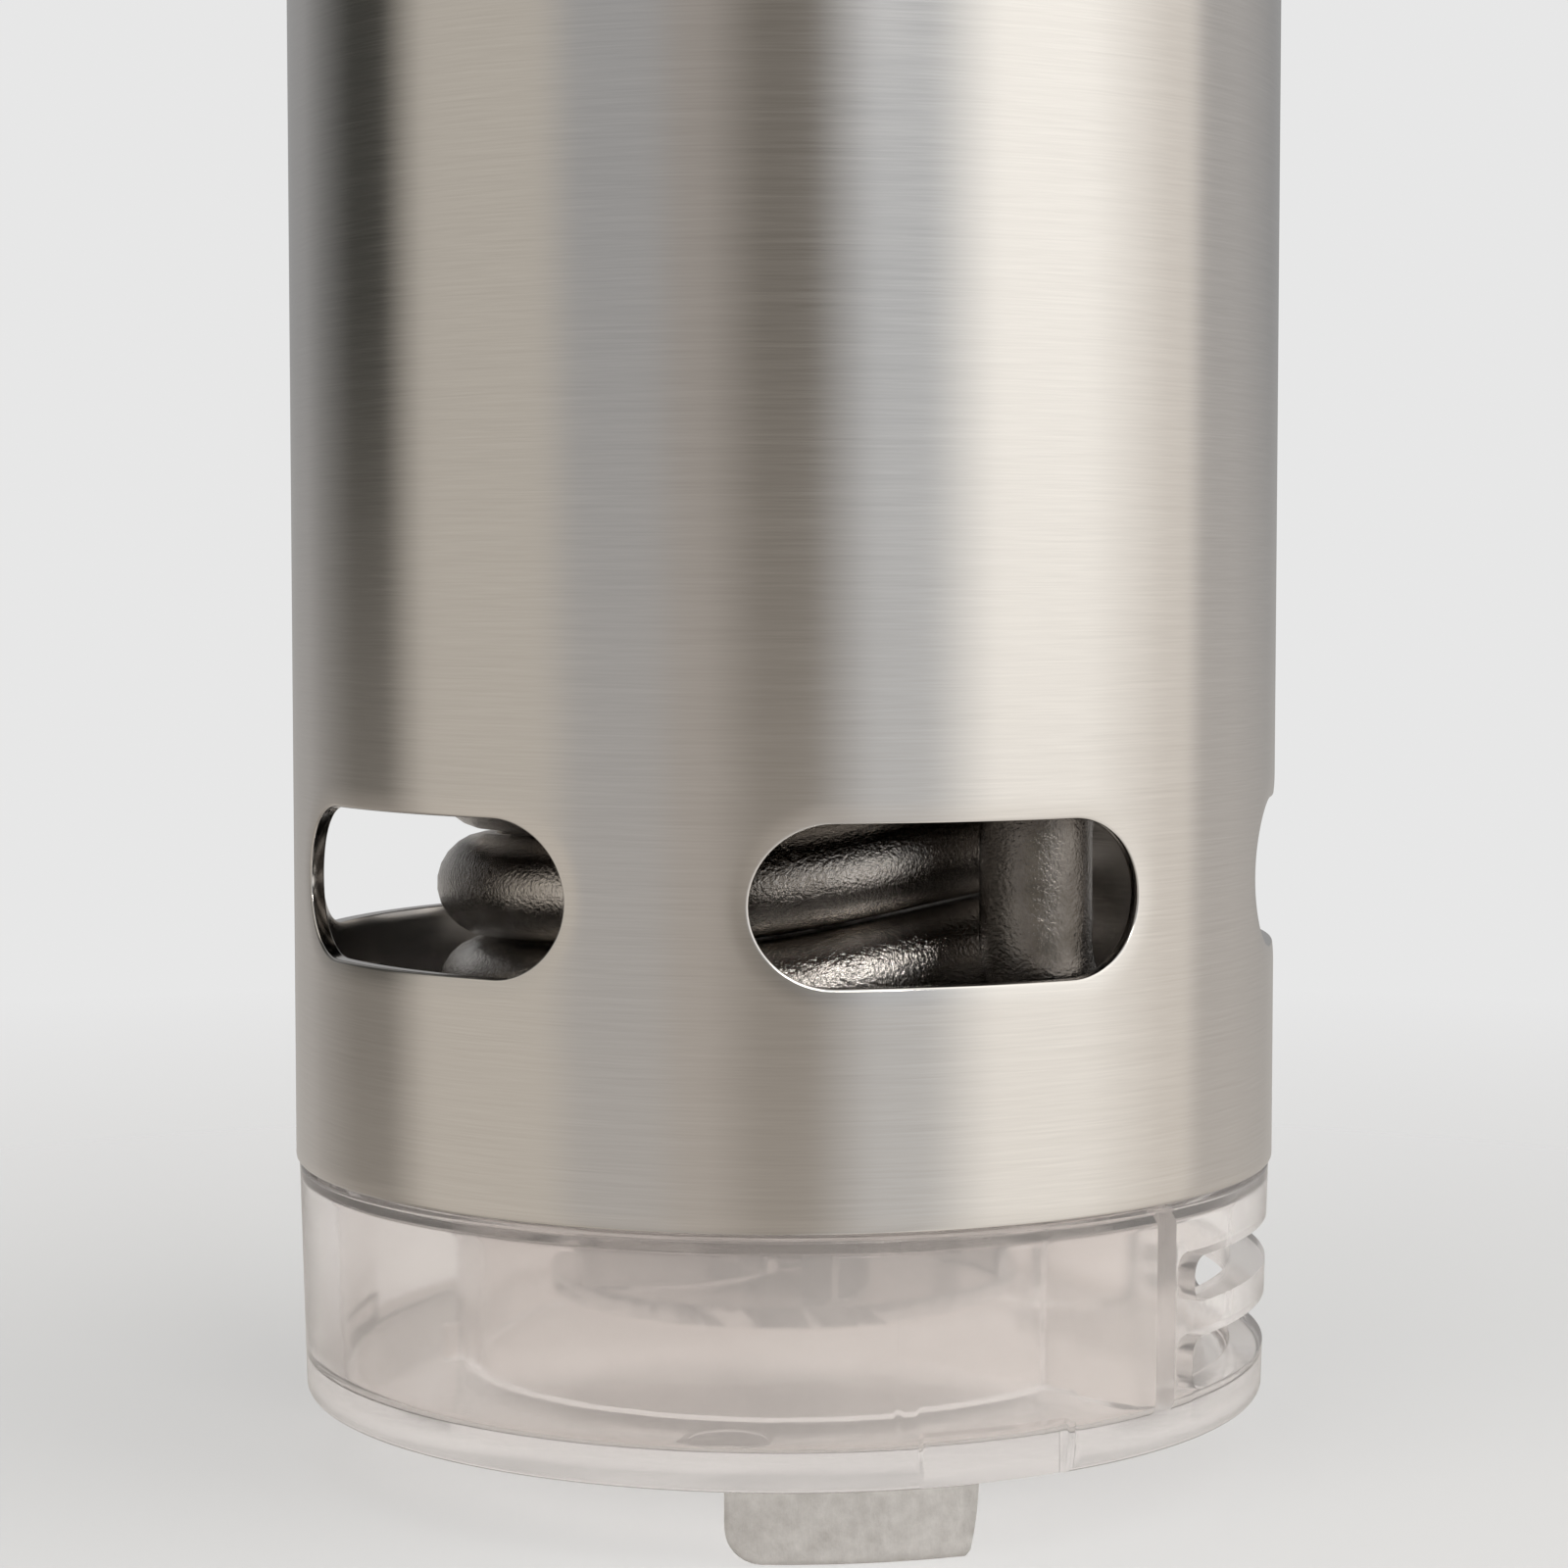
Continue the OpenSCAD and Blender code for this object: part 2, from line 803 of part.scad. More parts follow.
module upper_housing() {
    color([0.13, 0.13, 0.14]) difference() {
        intersection() {
            union() {
                ring(shell_r, head_r, split_z + seal_ring_h, face_z + 2 * head_r);
                difference() {
                    at_housing_screws()
                        translate([0, 0, split_z + seal_ring_h]) cylinder(r = boss_r, h = boss_h);
                    at_housing_screws()
                        translate([0, 0, split_z])
                            cylinder(r = screw_r + 0.35, h = boss_h + 3 * cut);
                }
            }
            face_layer(-4 * head_r, -bezel_h);
        }
        translate([-wheel_slot_w / 2, -head_r - cut, wheel_z - wheel_h / 2 - wheel_slot_gap])
            cube([wheel_slot_w, 9, wheel_h + 2 * wheel_slot_gap]);
        for (i = [0 : vent_count - 1]) {
            translate([-vent_size[0] / 2, 0, vent_low_z + i * vent_step])
                cube([vent_size[0], head_r + cut, vent_size[1]]);
        }
        translate([0, 0, gland_z])
            rotate([-90, 0, 0]) cylinder(r = gland_neck_r + run_gap, h = head_r + cut);
    }
}

module housing_screws() {
    color([0.6, 0.6, 0.62])
        at_housing_screws() {
            translate([0, 0, mount_z + mount_h + 1])
                cylinder(
                    r = screw_r,
                    h = split_z + seal_ring_h + boss_h - mount_z - mount_h - 1
                );
            translate([0, 0, split_z + seal_ring_h + boss_h])
                cylinder(r = screw_head[0], h = screw_head[1]);
        }
}

module control_bezel() {
    color([0.05, 0.05, 0.06]) difference() {
        intersection() {
            translate([0, 0, face_z - 10]) cylinder(r = head_r, h = 3 * head_r);
            face_layer(-bezel_h, 0);
        }
        on_face() {
            translate([0, lens_y, -lens_h]) cylinder(r = lens_r + run_gap, h = 5);
            translate([-window_size[0] / 2, lens_y - window_size[1] / 2, -bezel_h - cut])
                cube([window_size[0], window_size[1], 5]);
            for (side = [-1, 1]) {
                translate([side * button_x, button_y, -bezel_h - cut])
                    cylinder(r = button_r + button_gap, h = 6);
            }
        }
    }
}

module display_lens() {
    color([0.08, 0.09, 0.11, 0.7])
        on_face() translate([0, lens_y, -lens_h]) cylinder(r = lens_r, h = lens_h);
}

module display_module() {
    color([0.3, 0.4, 0.42])
        on_face()
            translate([
                -window_size[0] / 2 + 0.5, lens_y - window_size[1] / 2 + 0.5, -module_level
            ])
                cube([window_size[0] - 1, window_size[1] - 1, module_h]);
}

module control_board() {
    color([0.1, 0.35, 0.2])
        on_face()
            translate([-board_w / 2, board_start, -board_level]) cube([board_w, board_l, board_h]);
}

module tact_switches() {
    color([0.1, 0.1, 0.1])
        on_face()
            for (side = [-1, 1]) {
                translate([side * button_x, button_y, -board_level + board_h + switch_h / 2])
                    cube([switch_w, switch_w, switch_h], center = true);
            }
}

module push_button(side) {
    color([0.75, 0.75, 0.76])
        on_face()
            translate([side * button_x, button_y, -button_low]) {
                cylinder(r = button_r, h = button_low + button_proud);
                cylinder(r = button_r + button_skirt, h = button_skirt_h);
            }
}

module start_button() {
    push_button(1);
}

module timer_button() {
    push_button(-1);
}

module scroll_wheel() {
    color([0.2, 0.2, 0.21])
        translate([0, wheel_y, wheel_z - wheel_h / 2]) difference() {
            cylinder(r = wheel_r, h = wheel_h);
            translate([0, 0, -cut]) cylinder(r = axle_r + run_gap, h = wheel_h + 2 * cut);
            for (i = [0 : knurl_count - 1]) {
                rotate([0, 0, 360 / knurl_count * i])
                    translate([wheel_r + 0.3, 0, -cut])
                        cylinder(r = knurl_r, h = wheel_h + 2 * cut, $fn = 16);
            }
        }
}

module wheel_axle() {
    color([0.7, 0.7, 0.72])
        translate([0, wheel_y, wheel_z - wheel_h / 2 - axle_reach[0]])
            cylinder(r = axle_r, h = wheel_h + axle_reach[0] + axle_reach[1]);
}

module wheel_encoder() {
    color([0.15, 0.2, 0.3])
        translate([
            -encoder_size[0] / 2, wheel_y - 3, wheel_z - wheel_h / 2 - encoder_drop
        ])
            cube(encoder_size);
}

// ---- Electronics ----

module power_board() {
    color([0.1, 0.35, 0.2])
        translate([-board_size[0] / 2, board_y, board_low_z]) cube(board_size);
}

module transformer() {
    color([0.75, 0.65, 0.3])
        translate([
            transformer_place[0], board_y - transformer_size[1],
            board_low_z + transformer_place[1]
        ])
            cube(transformer_size);
}

module filter_capacitor() {
    color([0.15, 0.2, 0.45])
        translate([
            capacitor_place[0], board_y - capacitor_r, board_low_z + capacitor_place[1]
        ])
            cylinder(r = capacitor_r, h = capacitor_h);
}

module relay() {
    color([0.1, 0.25, 0.5])
        translate([relay_place[0], board_back_y, board_low_z + relay_place[1]])
            cube(relay_size);
}

module heat_sink() {
    color([0.6, 0.6, 0.62])
        translate([sink_place[0], board_back_y, board_low_z + sink_place[1]]) {
            cube(sink_base);
            for (i = [0 : fin_count - 1]) {
                translate([i * fin_step, 0, 0]) cube(fin_size);
            }
        }
}

module buzzer() {
    color([0.08, 0.08, 0.08])
        on_face()
            translate([buzzer_place[0], buzzer_place[1], -board_level - buzzer_h])
                cylinder(r = buzzer_r, h = buzzer_h);
}

module cord_gland() {
    color([0.1, 0.1, 0.1])
        translate([0, shell_r - gland_inset, gland_z]) rotate([-90, 0, 0]) difference() {
            union() {
                cylinder(r = gland_neck_r, h = head_wall + gland_inset + gland_reach);
                cylinder(r = gland_r, h = gland_nut_h);
                translate([0, 0, head_wall + gland_inset])
                    cylinder(r = gland_r, h = gland_reach);
            }
            translate([0, 0, -cut]) cylinder(r = gland_bore_r, h = 20);
        }
}

// ---- Pot clamp ----

module clamp_sleeve() {
    low = ring_z - sleeve_h / 2;
    high = ring_z + sleeve_h / 2;
    flange_h = (sleeve_h - ring_h) / 2 - 0.2;
    color([0.3, 0.3, 0.31]) {
        ring(tube_r + clamp_fit, sleeve_r, low, high);
        ring(tube_r + clamp_fit, sleeve_flange_r, low, low + flange_h);
        ring(tube_r + clamp_fit, sleeve_flange_r, high - flange_h, high);
    }
}

module clamp_bracket() {
    low = ring_z - ring_h / 2;
    color([0.14, 0.14, 0.15]) difference() {
        union() {
            translate([0, 0, low]) cylinder(r = ring_r, h = ring_h);
            translate([-jaw_w / 2, jaw_front_y, low + arm_rise])
                cube([jaw_w, leg_outer_y - jaw_front_y, arm_h]);
            translate([-jaw_w / 2, jaw_front_y, jaw_low_z])
                cube([jaw_w, jaw_back_y - jaw_front_y, ring_z - jaw_low_z]);
            translate([-jaw_w / 2, leg_inner_y, jaw_low_z])
                cube([jaw_w, leg_outer_y - leg_inner_y, ring_z - jaw_low_z]);
            translate([-ring_r - lock_boss_h + 2, 0, ring_z])
                rotate([0, 90, 0]) cylinder(r = lock_boss_r, h = lock_boss_h);
        }
        translate([0, 0, low - cut])
            cylinder(r = sleeve_r + clamp_fit, h = ring_h + 2 * cut);
        translate([0, leg_inner_y - cut, screw_z])
            rotate([-90, 0, 0]) cylinder(r = insert_r, h = 10);
        translate([-ring_r - lock_boss_h, 0, ring_z])
            rotate([0, 90, 0]) cylinder(r = lock_r + run_gap, h = lock_boss_h + 6);
    }
}

module thread_insert() {
    color([0.75, 0.6, 0.3])
        translate([0, leg_inner_y, screw_z]) rotate([-90, 0, 0])
            ring(thread_r + run_gap, insert_r, 0, leg_outer_y - leg_inner_y);
}

module clamp_screw() {
    color([0.75, 0.75, 0.76])
        translate([0, pad_y + 2, screw_z]) rotate([-90, 0, 0])
            cylinder(r = thread_r, h = knob_y + knob_h - 3 - pad_y);
}

module clamp_knob() {
    color([0.14, 0.14, 0.15])
        translate([0, knob_y, screw_z]) rotate([-90, 0, 0]) difference() {
            cylinder(r = knob_r, h = knob_h);
            for (i = [0 : knob_lobes - 1]) {
                rotate([0, 0, 360 / knob_lobes * i])
                    translate([knob_r + knob_scallop_out, 0, -cut])
                        cylinder(r = knob_scallop_r, h = knob_h + 2 * cut);
            }
            translate([0, 0, -cut]) cylinder(r = thread_r + press_gap, h = knob_h);
        }
}

module swivel_pad() {
    color([0.2, 0.2, 0.2])
        translate([0, pad_y, screw_z]) rotate([-90, 0, 0]) difference() {
            cylinder(r = pad_r, h = pad_h);
            translate([0, 0, pad_socket]) cylinder(r = thread_r + 0.1, h = pad_h);
        }
}

module jaw_pad() {
    color([0.2, 0.2, 0.2])
        translate([-jaw_w / 2 + 1, jaw_back_y, screw_z - jaw_pad_h / 2])
            cube([jaw_w - 2, jaw_pad_y - jaw_back_y, jaw_pad_h]);
}

module lock_screw() {
    color([0.14, 0.14, 0.15])
        translate([-ring_r - lock_reach, 0, ring_z]) rotate([0, 90, 0]) {
            cylinder(r = lock_knob_r, h = lock_knob_h, $fn = 12);
            cylinder(r = lock_r, h = ring_r + lock_reach - sleeve_r - 0.4);
        }
}

pump_cap();
foot_front();
foot_rear_right();
foot_rear_left();
cap_seal();
impeller();
pump_shaft();
shaft_bush();
shaft_guard();
pump_plate();
skirt_tube();
heater_element();
heater_terminals();
bulkhead();
bulkhead_gasket();
shaft_seal();
temperature_probe();
level_sensor();
thermal_cutout();
shaft_coupling();
motor_can();
motor_bearings();
motor_rotor();
motor_mount();
motor_screws();
cooling_fan();
lower_housing();
upper_housing();
housing_seal();
housing_screws();
control_bezel();
display_lens();
display_module();
control_board();
tact_switches();
start_button();
timer_button();
scroll_wheel();
wheel_axle();
wheel_encoder();
power_board();
transformer();
filter_capacitor();
relay();
heat_sink();
buzzer();
cord_gland();
clamp_sleeve();
clamp_bracket();
thread_insert();
clamp_screw();
clamp_knob();
swivel_pad();
jaw_pad();
lock_screw();
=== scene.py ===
"""Looks of an immersion circulator for sous vide cooking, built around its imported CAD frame.

Lengths in the tables below are millimetres and are scaled to metres when a mesh is made.
An azimuth is an angle about +Z in degrees, counted from -Y towards +X, as in the CAD.
"""

import json
import math

import bmesh
import bpy
from mathutils import Matrix, Vector


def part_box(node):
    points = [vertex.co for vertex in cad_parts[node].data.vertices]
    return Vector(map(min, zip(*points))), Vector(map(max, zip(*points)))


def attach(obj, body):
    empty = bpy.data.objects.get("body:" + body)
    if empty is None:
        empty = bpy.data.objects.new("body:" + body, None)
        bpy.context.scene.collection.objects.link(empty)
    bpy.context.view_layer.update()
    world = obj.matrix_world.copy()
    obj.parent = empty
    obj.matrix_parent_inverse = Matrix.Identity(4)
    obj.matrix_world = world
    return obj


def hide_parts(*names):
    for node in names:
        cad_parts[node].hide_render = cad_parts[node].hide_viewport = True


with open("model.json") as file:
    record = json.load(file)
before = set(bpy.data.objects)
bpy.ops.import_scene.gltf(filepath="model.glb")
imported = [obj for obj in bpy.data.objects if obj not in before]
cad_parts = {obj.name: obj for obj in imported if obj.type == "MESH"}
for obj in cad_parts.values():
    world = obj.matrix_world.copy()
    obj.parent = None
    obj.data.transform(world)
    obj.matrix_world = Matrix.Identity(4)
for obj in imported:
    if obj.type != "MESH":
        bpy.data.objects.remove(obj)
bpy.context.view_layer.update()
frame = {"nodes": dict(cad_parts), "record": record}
MM = 0.001
TAU = 2 * math.pi

# ---- Sizes that the CAD shares (millimetres) ----

TUBE_R = 30.0
BORE_R = 29.0
TUBE_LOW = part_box("skirt_tube")[0].z / MM
TUBE_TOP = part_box("skirt_tube")[1].z / MM
SLOT_AZIMUTHS = [-45.7, 18.6, 89.4, 165.8, 242.3]
SLOT_Z, SLOT_H, SLOT_W = 35.8, 8.8, 22.6
CAP_TOP, CAP_RIM_R, CAP_TOP_R, CAP_INNER_R = 17.85, 29.45, 29.8, 27.55
FOOT_H, FLOOR_Z = 4.0, 5.8
SPIGOT_R, SPIGOT_INNER_R, SPIGOT_Z = 28.9, 26.4, 21.5
VOLUTE_R, VOLUTE_WALL, WALL_TOP = 20.3, 1.5, 18.7
DUCT_START, DUCT_END = 49.9, 117.0  # the CAD's front duct wall stands at 48.3


# ---- Mesh helpers ----


def polar(r, az, z=0.0):
    a = math.radians(az)
    return Vector((r * math.sin(a), -r * math.cos(a), z))


def span(first, last, steps):
    return [first + (last - first) * i / steps for i in range(steps + 1)]


def make(name, verts, faces, smooth=True):
    """An object from millimetre points and faces, with its outside facing out."""
    mesh = bpy.data.meshes.new(name)
    mesh.from_pydata([Vector(v) * MM for v in verts], [], faces)
    bm = bmesh.new()
    bm.from_mesh(mesh)
    bmesh.ops.remove_doubles(bm, verts=bm.verts, dist=1e-7)
    bmesh.ops.recalc_face_normals(bm, faces=bm.faces)
    bm.to_mesh(mesh)
    bm.free()
    for polygon in mesh.polygons:
        polygon.use_smooth = smooth
    made = bpy.data.objects.new(name, mesh)
    bpy.context.scene.collection.objects.link(made)
    return made


def bake(obj):
    """Apply an object's modifiers to its mesh."""
    graph = bpy.context.evaluated_depsgraph_get()
    mesh = bpy.data.meshes.new_from_object(obj.evaluated_get(graph))
    obj.modifiers.clear()
    obj.data = mesh
    return obj


def join_solids(base, others, operation):
    """Union with, or cut by, other closed solids, which are used up."""
    for other in others:
        cutter = base.modifiers.new("solid", "BOOLEAN")
        cutter.operation = operation
        cutter.solver = "EXACT"
        cutter.object = other
        bake(base)
        bpy.data.objects.remove(other)
    return base


def loops_to_faces(loops, closed=False, capped=False):
    """Quads between rings of points that follow each other."""
    faces = []
    count, size = len(loops), len(loops[0])
    for i in range(count if closed else count - 1):
        a, b = i * size, ((i + 1) % count) * size
        for k in range(size):
            n = (k + 1) % size
            faces.append((a + k, a + n, b + n, b + k))
    if capped:
        faces.append(tuple(range(size - 1, -1, -1)))
        faces.append(tuple((count - 1) * size + k for k in range(size)))
    return faces


def loft(name, loops, closed=False):
    """A closed solid through rings of points, capped unless the rings close on themselves."""
    verts = [p for loop in loops for p in loop]
    return make(name, verts, loops_to_faces(loops, closed, not closed))


def lathe(name, profile, steps):
    """A closed profile of (radius, height) points turned about Z."""
    loops = [[polar(r, 360 * i / steps, z) for r, z in profile] for i in range(steps)]
    return loft(name, loops, closed=True)


def rounded(corners, steps=4):
    """A profile from (x, y, fillet radius) corners, with each corner rounded."""
    points = []
    count = len(corners)
    for i, (x, y, r) in enumerate(corners):
        here = Vector((x, y))
        if r <= 0:
            points.append((x, y))
            continue
        back = Vector(corners[i - 1][:2]) - here
        ahead = Vector(corners[(i + 1) % count][:2]) - here
        turn = back.angle(ahead)
        reach = r / math.tan(turn / 2)
        start = here + back.normalized() * reach
        end = here + ahead.normalized() * reach
        middle = here + (back.normalized() + ahead.normalized()).normalized() * (
            r / math.sin(turn / 2)
        )
        a0 = math.atan2(*(start - middle).yx)
        a1 = math.atan2(*(end - middle).yx)
        arc = (a1 - a0 + math.pi) % TAU - math.pi
        for k in range(steps + 1):
            a = a0 + arc * k / steps
            points.append((middle.x + r * math.cos(a), middle.y + r * math.sin(a)))
    return points


def sector(name, r0, r1, z0, z1, az0, az1, corner=0.0, step=1.5):
    """Part of a ring, as a closed solid. Its ends' corners may be rounded in (azimuth, height)."""
    mid_r = (r0 + r1) / 2
    turn = math.degrees(corner / mid_r)
    stops = []
    if corner:
        stops += [az0 + turn * (1 - math.cos(math.radians(a))) for a in span(0, 90, 6)]
    else:
        stops += [az0]
    inner = max(2, round((az1 - az0 - 2 * turn) / step))
    stops += span(az0 + turn, az1 - turn, inner)[1:-1]
    if corner:
        stops += [az1 - turn * (1 - math.cos(math.radians(a))) for a in span(90, 0, 6)]
    else:
        stops += [az1]
    loops = []
    for az in stops:
        gap = min(az - az0, az1 - az)
        inset = 0.0
        if corner and gap < turn:
            inset = corner * (1 - math.sqrt(max(0.0, 1 - (1 - gap / turn) ** 2)))
        low, high = z0 + inset, z1 - inset
        loops.append([polar(r0, az, low), polar(r1, az, low),
                      polar(r1, az, high), polar(r0, az, high)])
    return loft(name, loops)


def sides_along(path):
    """Two vectors square to a path at each of its points, turned as little as possible."""
    last_index = len(path) - 1
    sides = []
    side = Vector((1, 0, 0))
    for i in range(len(path)):
        tangent = (path[min(i + 1, last_index)] - path[max(i - 1, 0)]).normalized()
        side = (side - tangent * side.dot(tangent)).normalized()
        sides.append((side, tangent.cross(side)))
    return sides


def sweep(name, path, radius, steps):
    """A round bar along a path that doesn't start along X."""
    turns = [TAU * k / steps for k in range(steps)]
    return loft(name, [
        [point + (u * math.cos(a) + v * math.sin(a)) * radius for a in turns]
        for point, (u, v) in zip(path, sides_along(path))
    ])


def shade_by_angle(obj, degrees):
    """Smooth shading that keeps edges sharper than this angle."""
    bm = bmesh.new()
    bm.from_mesh(obj.data)
    limit = math.radians(degrees)
    for edge in bm.edges:
        edge.smooth = len(edge.link_faces) == 2 and edge.calc_face_angle(0) < limit
    for face in bm.faces:
        face.smooth = True
    bm.to_mesh(obj.data)
    bm.free()
    return obj


def finish_piece(obj, body, material, nodes=()):
    """Give a piece its material, its body, its finish and the CAD nodes that it stands for."""
    obj.data.materials.clear()
    obj.data.materials.append(material)
    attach(obj, body)
    if nodes:
        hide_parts(*nodes)
    return obj


# ---- Materials ----


class Tree:
    """A small wrapper that makes node trees readable."""

    def __init__(self, tree):
        self.tree = tree

    def node(self, kind, **values):
        made = self.tree.nodes.new(kind)
        for key, value in values.items():
            setattr(made, key, value)
        return made

    def link(self, source, target):
        self.tree.links.new(source, target)

    def ranged(self, factor, low, high, start=0.3, stop=0.7):
        """A value that runs from low to high as factor goes from start to stop."""
        made = self.node("ShaderNodeMapRange")
        made.inputs["From Min"].default_value = start
        made.inputs["From Max"].default_value = stop
        made.inputs["To Min"].default_value = low
        made.inputs["To Max"].default_value = high
        self.link(factor, made.inputs["Value"])
        return made.outputs["Result"]

    def math(self, operation, first, second):
        made = self.node("ShaderNodeMath", operation=operation)
        for socket, value in zip(made.inputs, (first, second)):
            if isinstance(value, (int, float)):
                socket.default_value = value
            else:
                self.link(value, socket)
        return made.outputs["Value"]

    def mix_colour(self, factor, first, second):
        """A mix of two colours, each a socket or plain (red, green, blue)."""
        made = self.node("ShaderNodeMix", data_type="RGBA")
        self.link(factor, made.inputs[0])
        for socket, value in zip(made.inputs[6:8], (first, second)):
            if isinstance(value, tuple):
                socket.default_value = (*value, 1)
            else:
                self.link(value, socket)
        return made.outputs[2]

    def mix_shader(self, factor, first, second):
        made = self.node("ShaderNodeMixShader")
        for socket, source in zip(made.inputs, (factor, first, second)):
            self.link(source, socket)
        return made.outputs["Shader"]


class Shader(Tree):
    """A material's node tree, around its Principled BSDF."""

    def __init__(self, name):
        self.material = bpy.data.materials.new(name)
        self.material.use_nodes = True
        super().__init__(self.material.node_tree)
        self.bsdf = self.tree.nodes["Principled BSDF"]
        self.place = self.node("ShaderNodeTexCoord").outputs["Object"]

    def set(self, **values):
        for key, value in values.items():
            self.bsdf.inputs[key.replace("_", " ")].default_value = value

    def scaled(self, scale):
        mapping = self.node("ShaderNodeMapping")
        mapping.inputs["Scale"].default_value = scale
        self.link(self.place, mapping.inputs["Vector"])
        return mapping.outputs["Vector"]

    def noise(self, scale, detail=3.0, roughness=0.55, vector=None, distortion=0.0):
        made = self.node("ShaderNodeTexNoise")
        made.inputs["Scale"].default_value = scale
        made.inputs["Detail"].default_value = detail
        made.inputs["Roughness"].default_value = roughness
        made.inputs["Distortion"].default_value = distortion
        self.link(vector or self.place, made.inputs["Vector"])
        return made.outputs["Fac"]

    def blend(self, factor, first, second, low=0.35, high=0.65):
        """A colour that runs from first to second as factor goes from low to high."""
        ramp = self.node("ShaderNodeValToRGB")
        ramp.color_ramp.elements[0].position = low
        ramp.color_ramp.elements[0].color = (*first, 1)
        ramp.color_ramp.elements[1].position = high
        ramp.color_ramp.elements[1].color = (*second, 1)
        self.link(factor, ramp.inputs["Fac"])
        return ramp.outputs["Color"]

    def bump(self, height, strength, distance):
        made = self.node("ShaderNodeBump")
        made.inputs["Strength"].default_value = strength
        made.inputs["Distance"].default_value = distance
        self.link(height, made.inputs["Height"])
        return made.outputs["Normal"]

    def from_middle(self, scale=(1, 1, 1)):
        """The distance from the origin in metres, with each axis scaled."""
        length = self.node("ShaderNodeVectorMath", operation="LENGTH")
        self.link(self.scaled(scale), length.inputs[0])
        return length.outputs["Value"]

    def use(self, colour=None, roughness=None, normal=None):
        for source, name in ((colour, "Base Color"), (roughness, "Roughness"), (normal, "Normal")):
            if source is not None:
                self.link(source, self.bsdf.inputs[name])

    def mix_clear(self, factor):
        """Turn the surface clear as factor goes from 0 to 1."""
        clear = self.node("ShaderNodeBsdfTransparent").outputs["BSDF"]
        mixed = self.mix_shader(factor, self.bsdf.outputs["BSDF"], clear)
        self.link(mixed, self.tree.nodes["Material Output"].inputs["Surface"])


def plain_finish(name, first, second, rough, scale, bump, grain, **values):
    """Moulded, cast or turned stock: colour variation, patchy gloss and a fine grain."""
    shader = Shader(name)
    broad = shader.noise(scale, 4.0)
    fine = shader.noise(grain, 2.0)
    shader.use(
        colour=shader.blend(broad, first, second),
        roughness=shader.ranged(broad, rough[0], rough[1]),
        normal=shader.bump(fine, bump, 0.00012),
    )
    shader.set(**values)
    return shader.material


def turned_steel(name, first, second, rough, streak=(250, 250, 9000)):
    """Steel with fine streaks from brushing or turning."""
    shader = Shader(name)
    streaks = shader.noise(1.0, 3.0, 0.6, shader.scaled(streak))
    cloud = shader.noise(60, 3.0)
    shader.use(
        colour=shader.blend(streaks, first, second, 0.3, 0.7),
        roughness=shader.math(
            "ADD",
            shader.ranged(streaks, rough[0], rough[1]),
            shader.ranged(cloud, -0.02, 0.03),
        ),
        normal=shader.bump(streaks, 0.25, 0.00002),
    )
    shader.set(Metallic=1.0)
    return shader.material


def brushed_tube():
    """The skirt tube: fine brushed streaks round the tube over a soft cloudiness."""
    shader = Shader("tube_steel")
    fine = shader.noise(1.0, 2.0, 0.65, shader.scaled((220, 220, 13000)))
    broad = shader.noise(1.0, 3.0, 0.6, shader.scaled((80, 80, 4200)))
    cloud = shader.noise(38, 4.0, 0.6)
    streaks = shader.math("ADD", shader.math("MULTIPLY", fine, 0.6),
                          shader.math("MULTIPLY", broad, 0.4))
    colour = shader.blend(streaks, (0.68, 0.655, 0.63), (0.75, 0.725, 0.70), 0.32, 0.68)
    rough = shader.math("ADD", shader.ranged(streaks, 0.13, 0.19),
                        shader.ranged(cloud, -0.01, 0.02))
    shader.use(colour=colour, roughness=rough, normal=shader.bump(streaks, 0.07, 0.00001))
    tangent = shader.node("ShaderNodeTangent", direction_type="RADIAL", axis="Z")
    shader.link(tangent.outputs["Tangent"], shader.bsdf.inputs["Tangent"])
    shader.set(Metallic=1.0, Anisotropic=0.3, Anisotropic_Rotation=0.25)
    return shader.material


def sheath_steel():
    """The heater's sheath: orange-peel steel, with painted shade on the risers, which are coloured
    darker than the coil.
    """
    shader = Shader("sheath_steel")
    peel = shader.noise(4300, 3.0, 0.6)
    stain = shader.noise(160, 4.0, 0.6)
    coil = shader.blend(stain, (0.42, 0.39, 0.36), (0.76, 0.72, 0.68))
    # painted shade: the risers are the same steel as the coil, darkened here past the coil's radius
    # because they stand in less light
    riser = shader.blend(stain, (0.13, 0.118, 0.108), (0.27, 0.25, 0.23))
    riser_shade_mask = shader.ranged(shader.from_middle((1, 1, 0)), 0, 1, 20.5 * MM, 22.5 * MM)
    shader.use(
        colour=shader.mix_colour(riser_shade_mask, coil, riser),
        roughness=shader.ranged(stain, 0.07, 0.14),
        normal=shader.bump(peel, 0.65, 0.00013),
    )
    shader.set(Metallic=1.0)
    return shader.material


def through_light(shader):
    """Let shadow rays pass a clear piece, so what stands behind it isn't in the dark."""
    shader.mix_clear(shader.node("ShaderNodeLightPath").outputs["Is Shadow Ray"])
    return shader.material


def clear_plastic(name, first, second, rough, transmission, ior):
    """Clear or milky plastic with a faint cloudiness and flow marks."""
    shader = Shader(name)
    cloud = shader.noise(45, 4.0, 0.6, distortion=0.6)
    flow = shader.noise(1.0, 3.0, 0.5, shader.scaled((150, 150, 420)))
    shader.use(
        colour=shader.blend(cloud, first, second, 0.3, 0.7),
        roughness=shader.ranged(cloud, rough[0], rough[1]),
        normal=shader.bump(flow, 0.06, 0.0002),
    )
    shader.set(Transmission_Weight=transmission, IOR=ior)
    return through_light(shader)


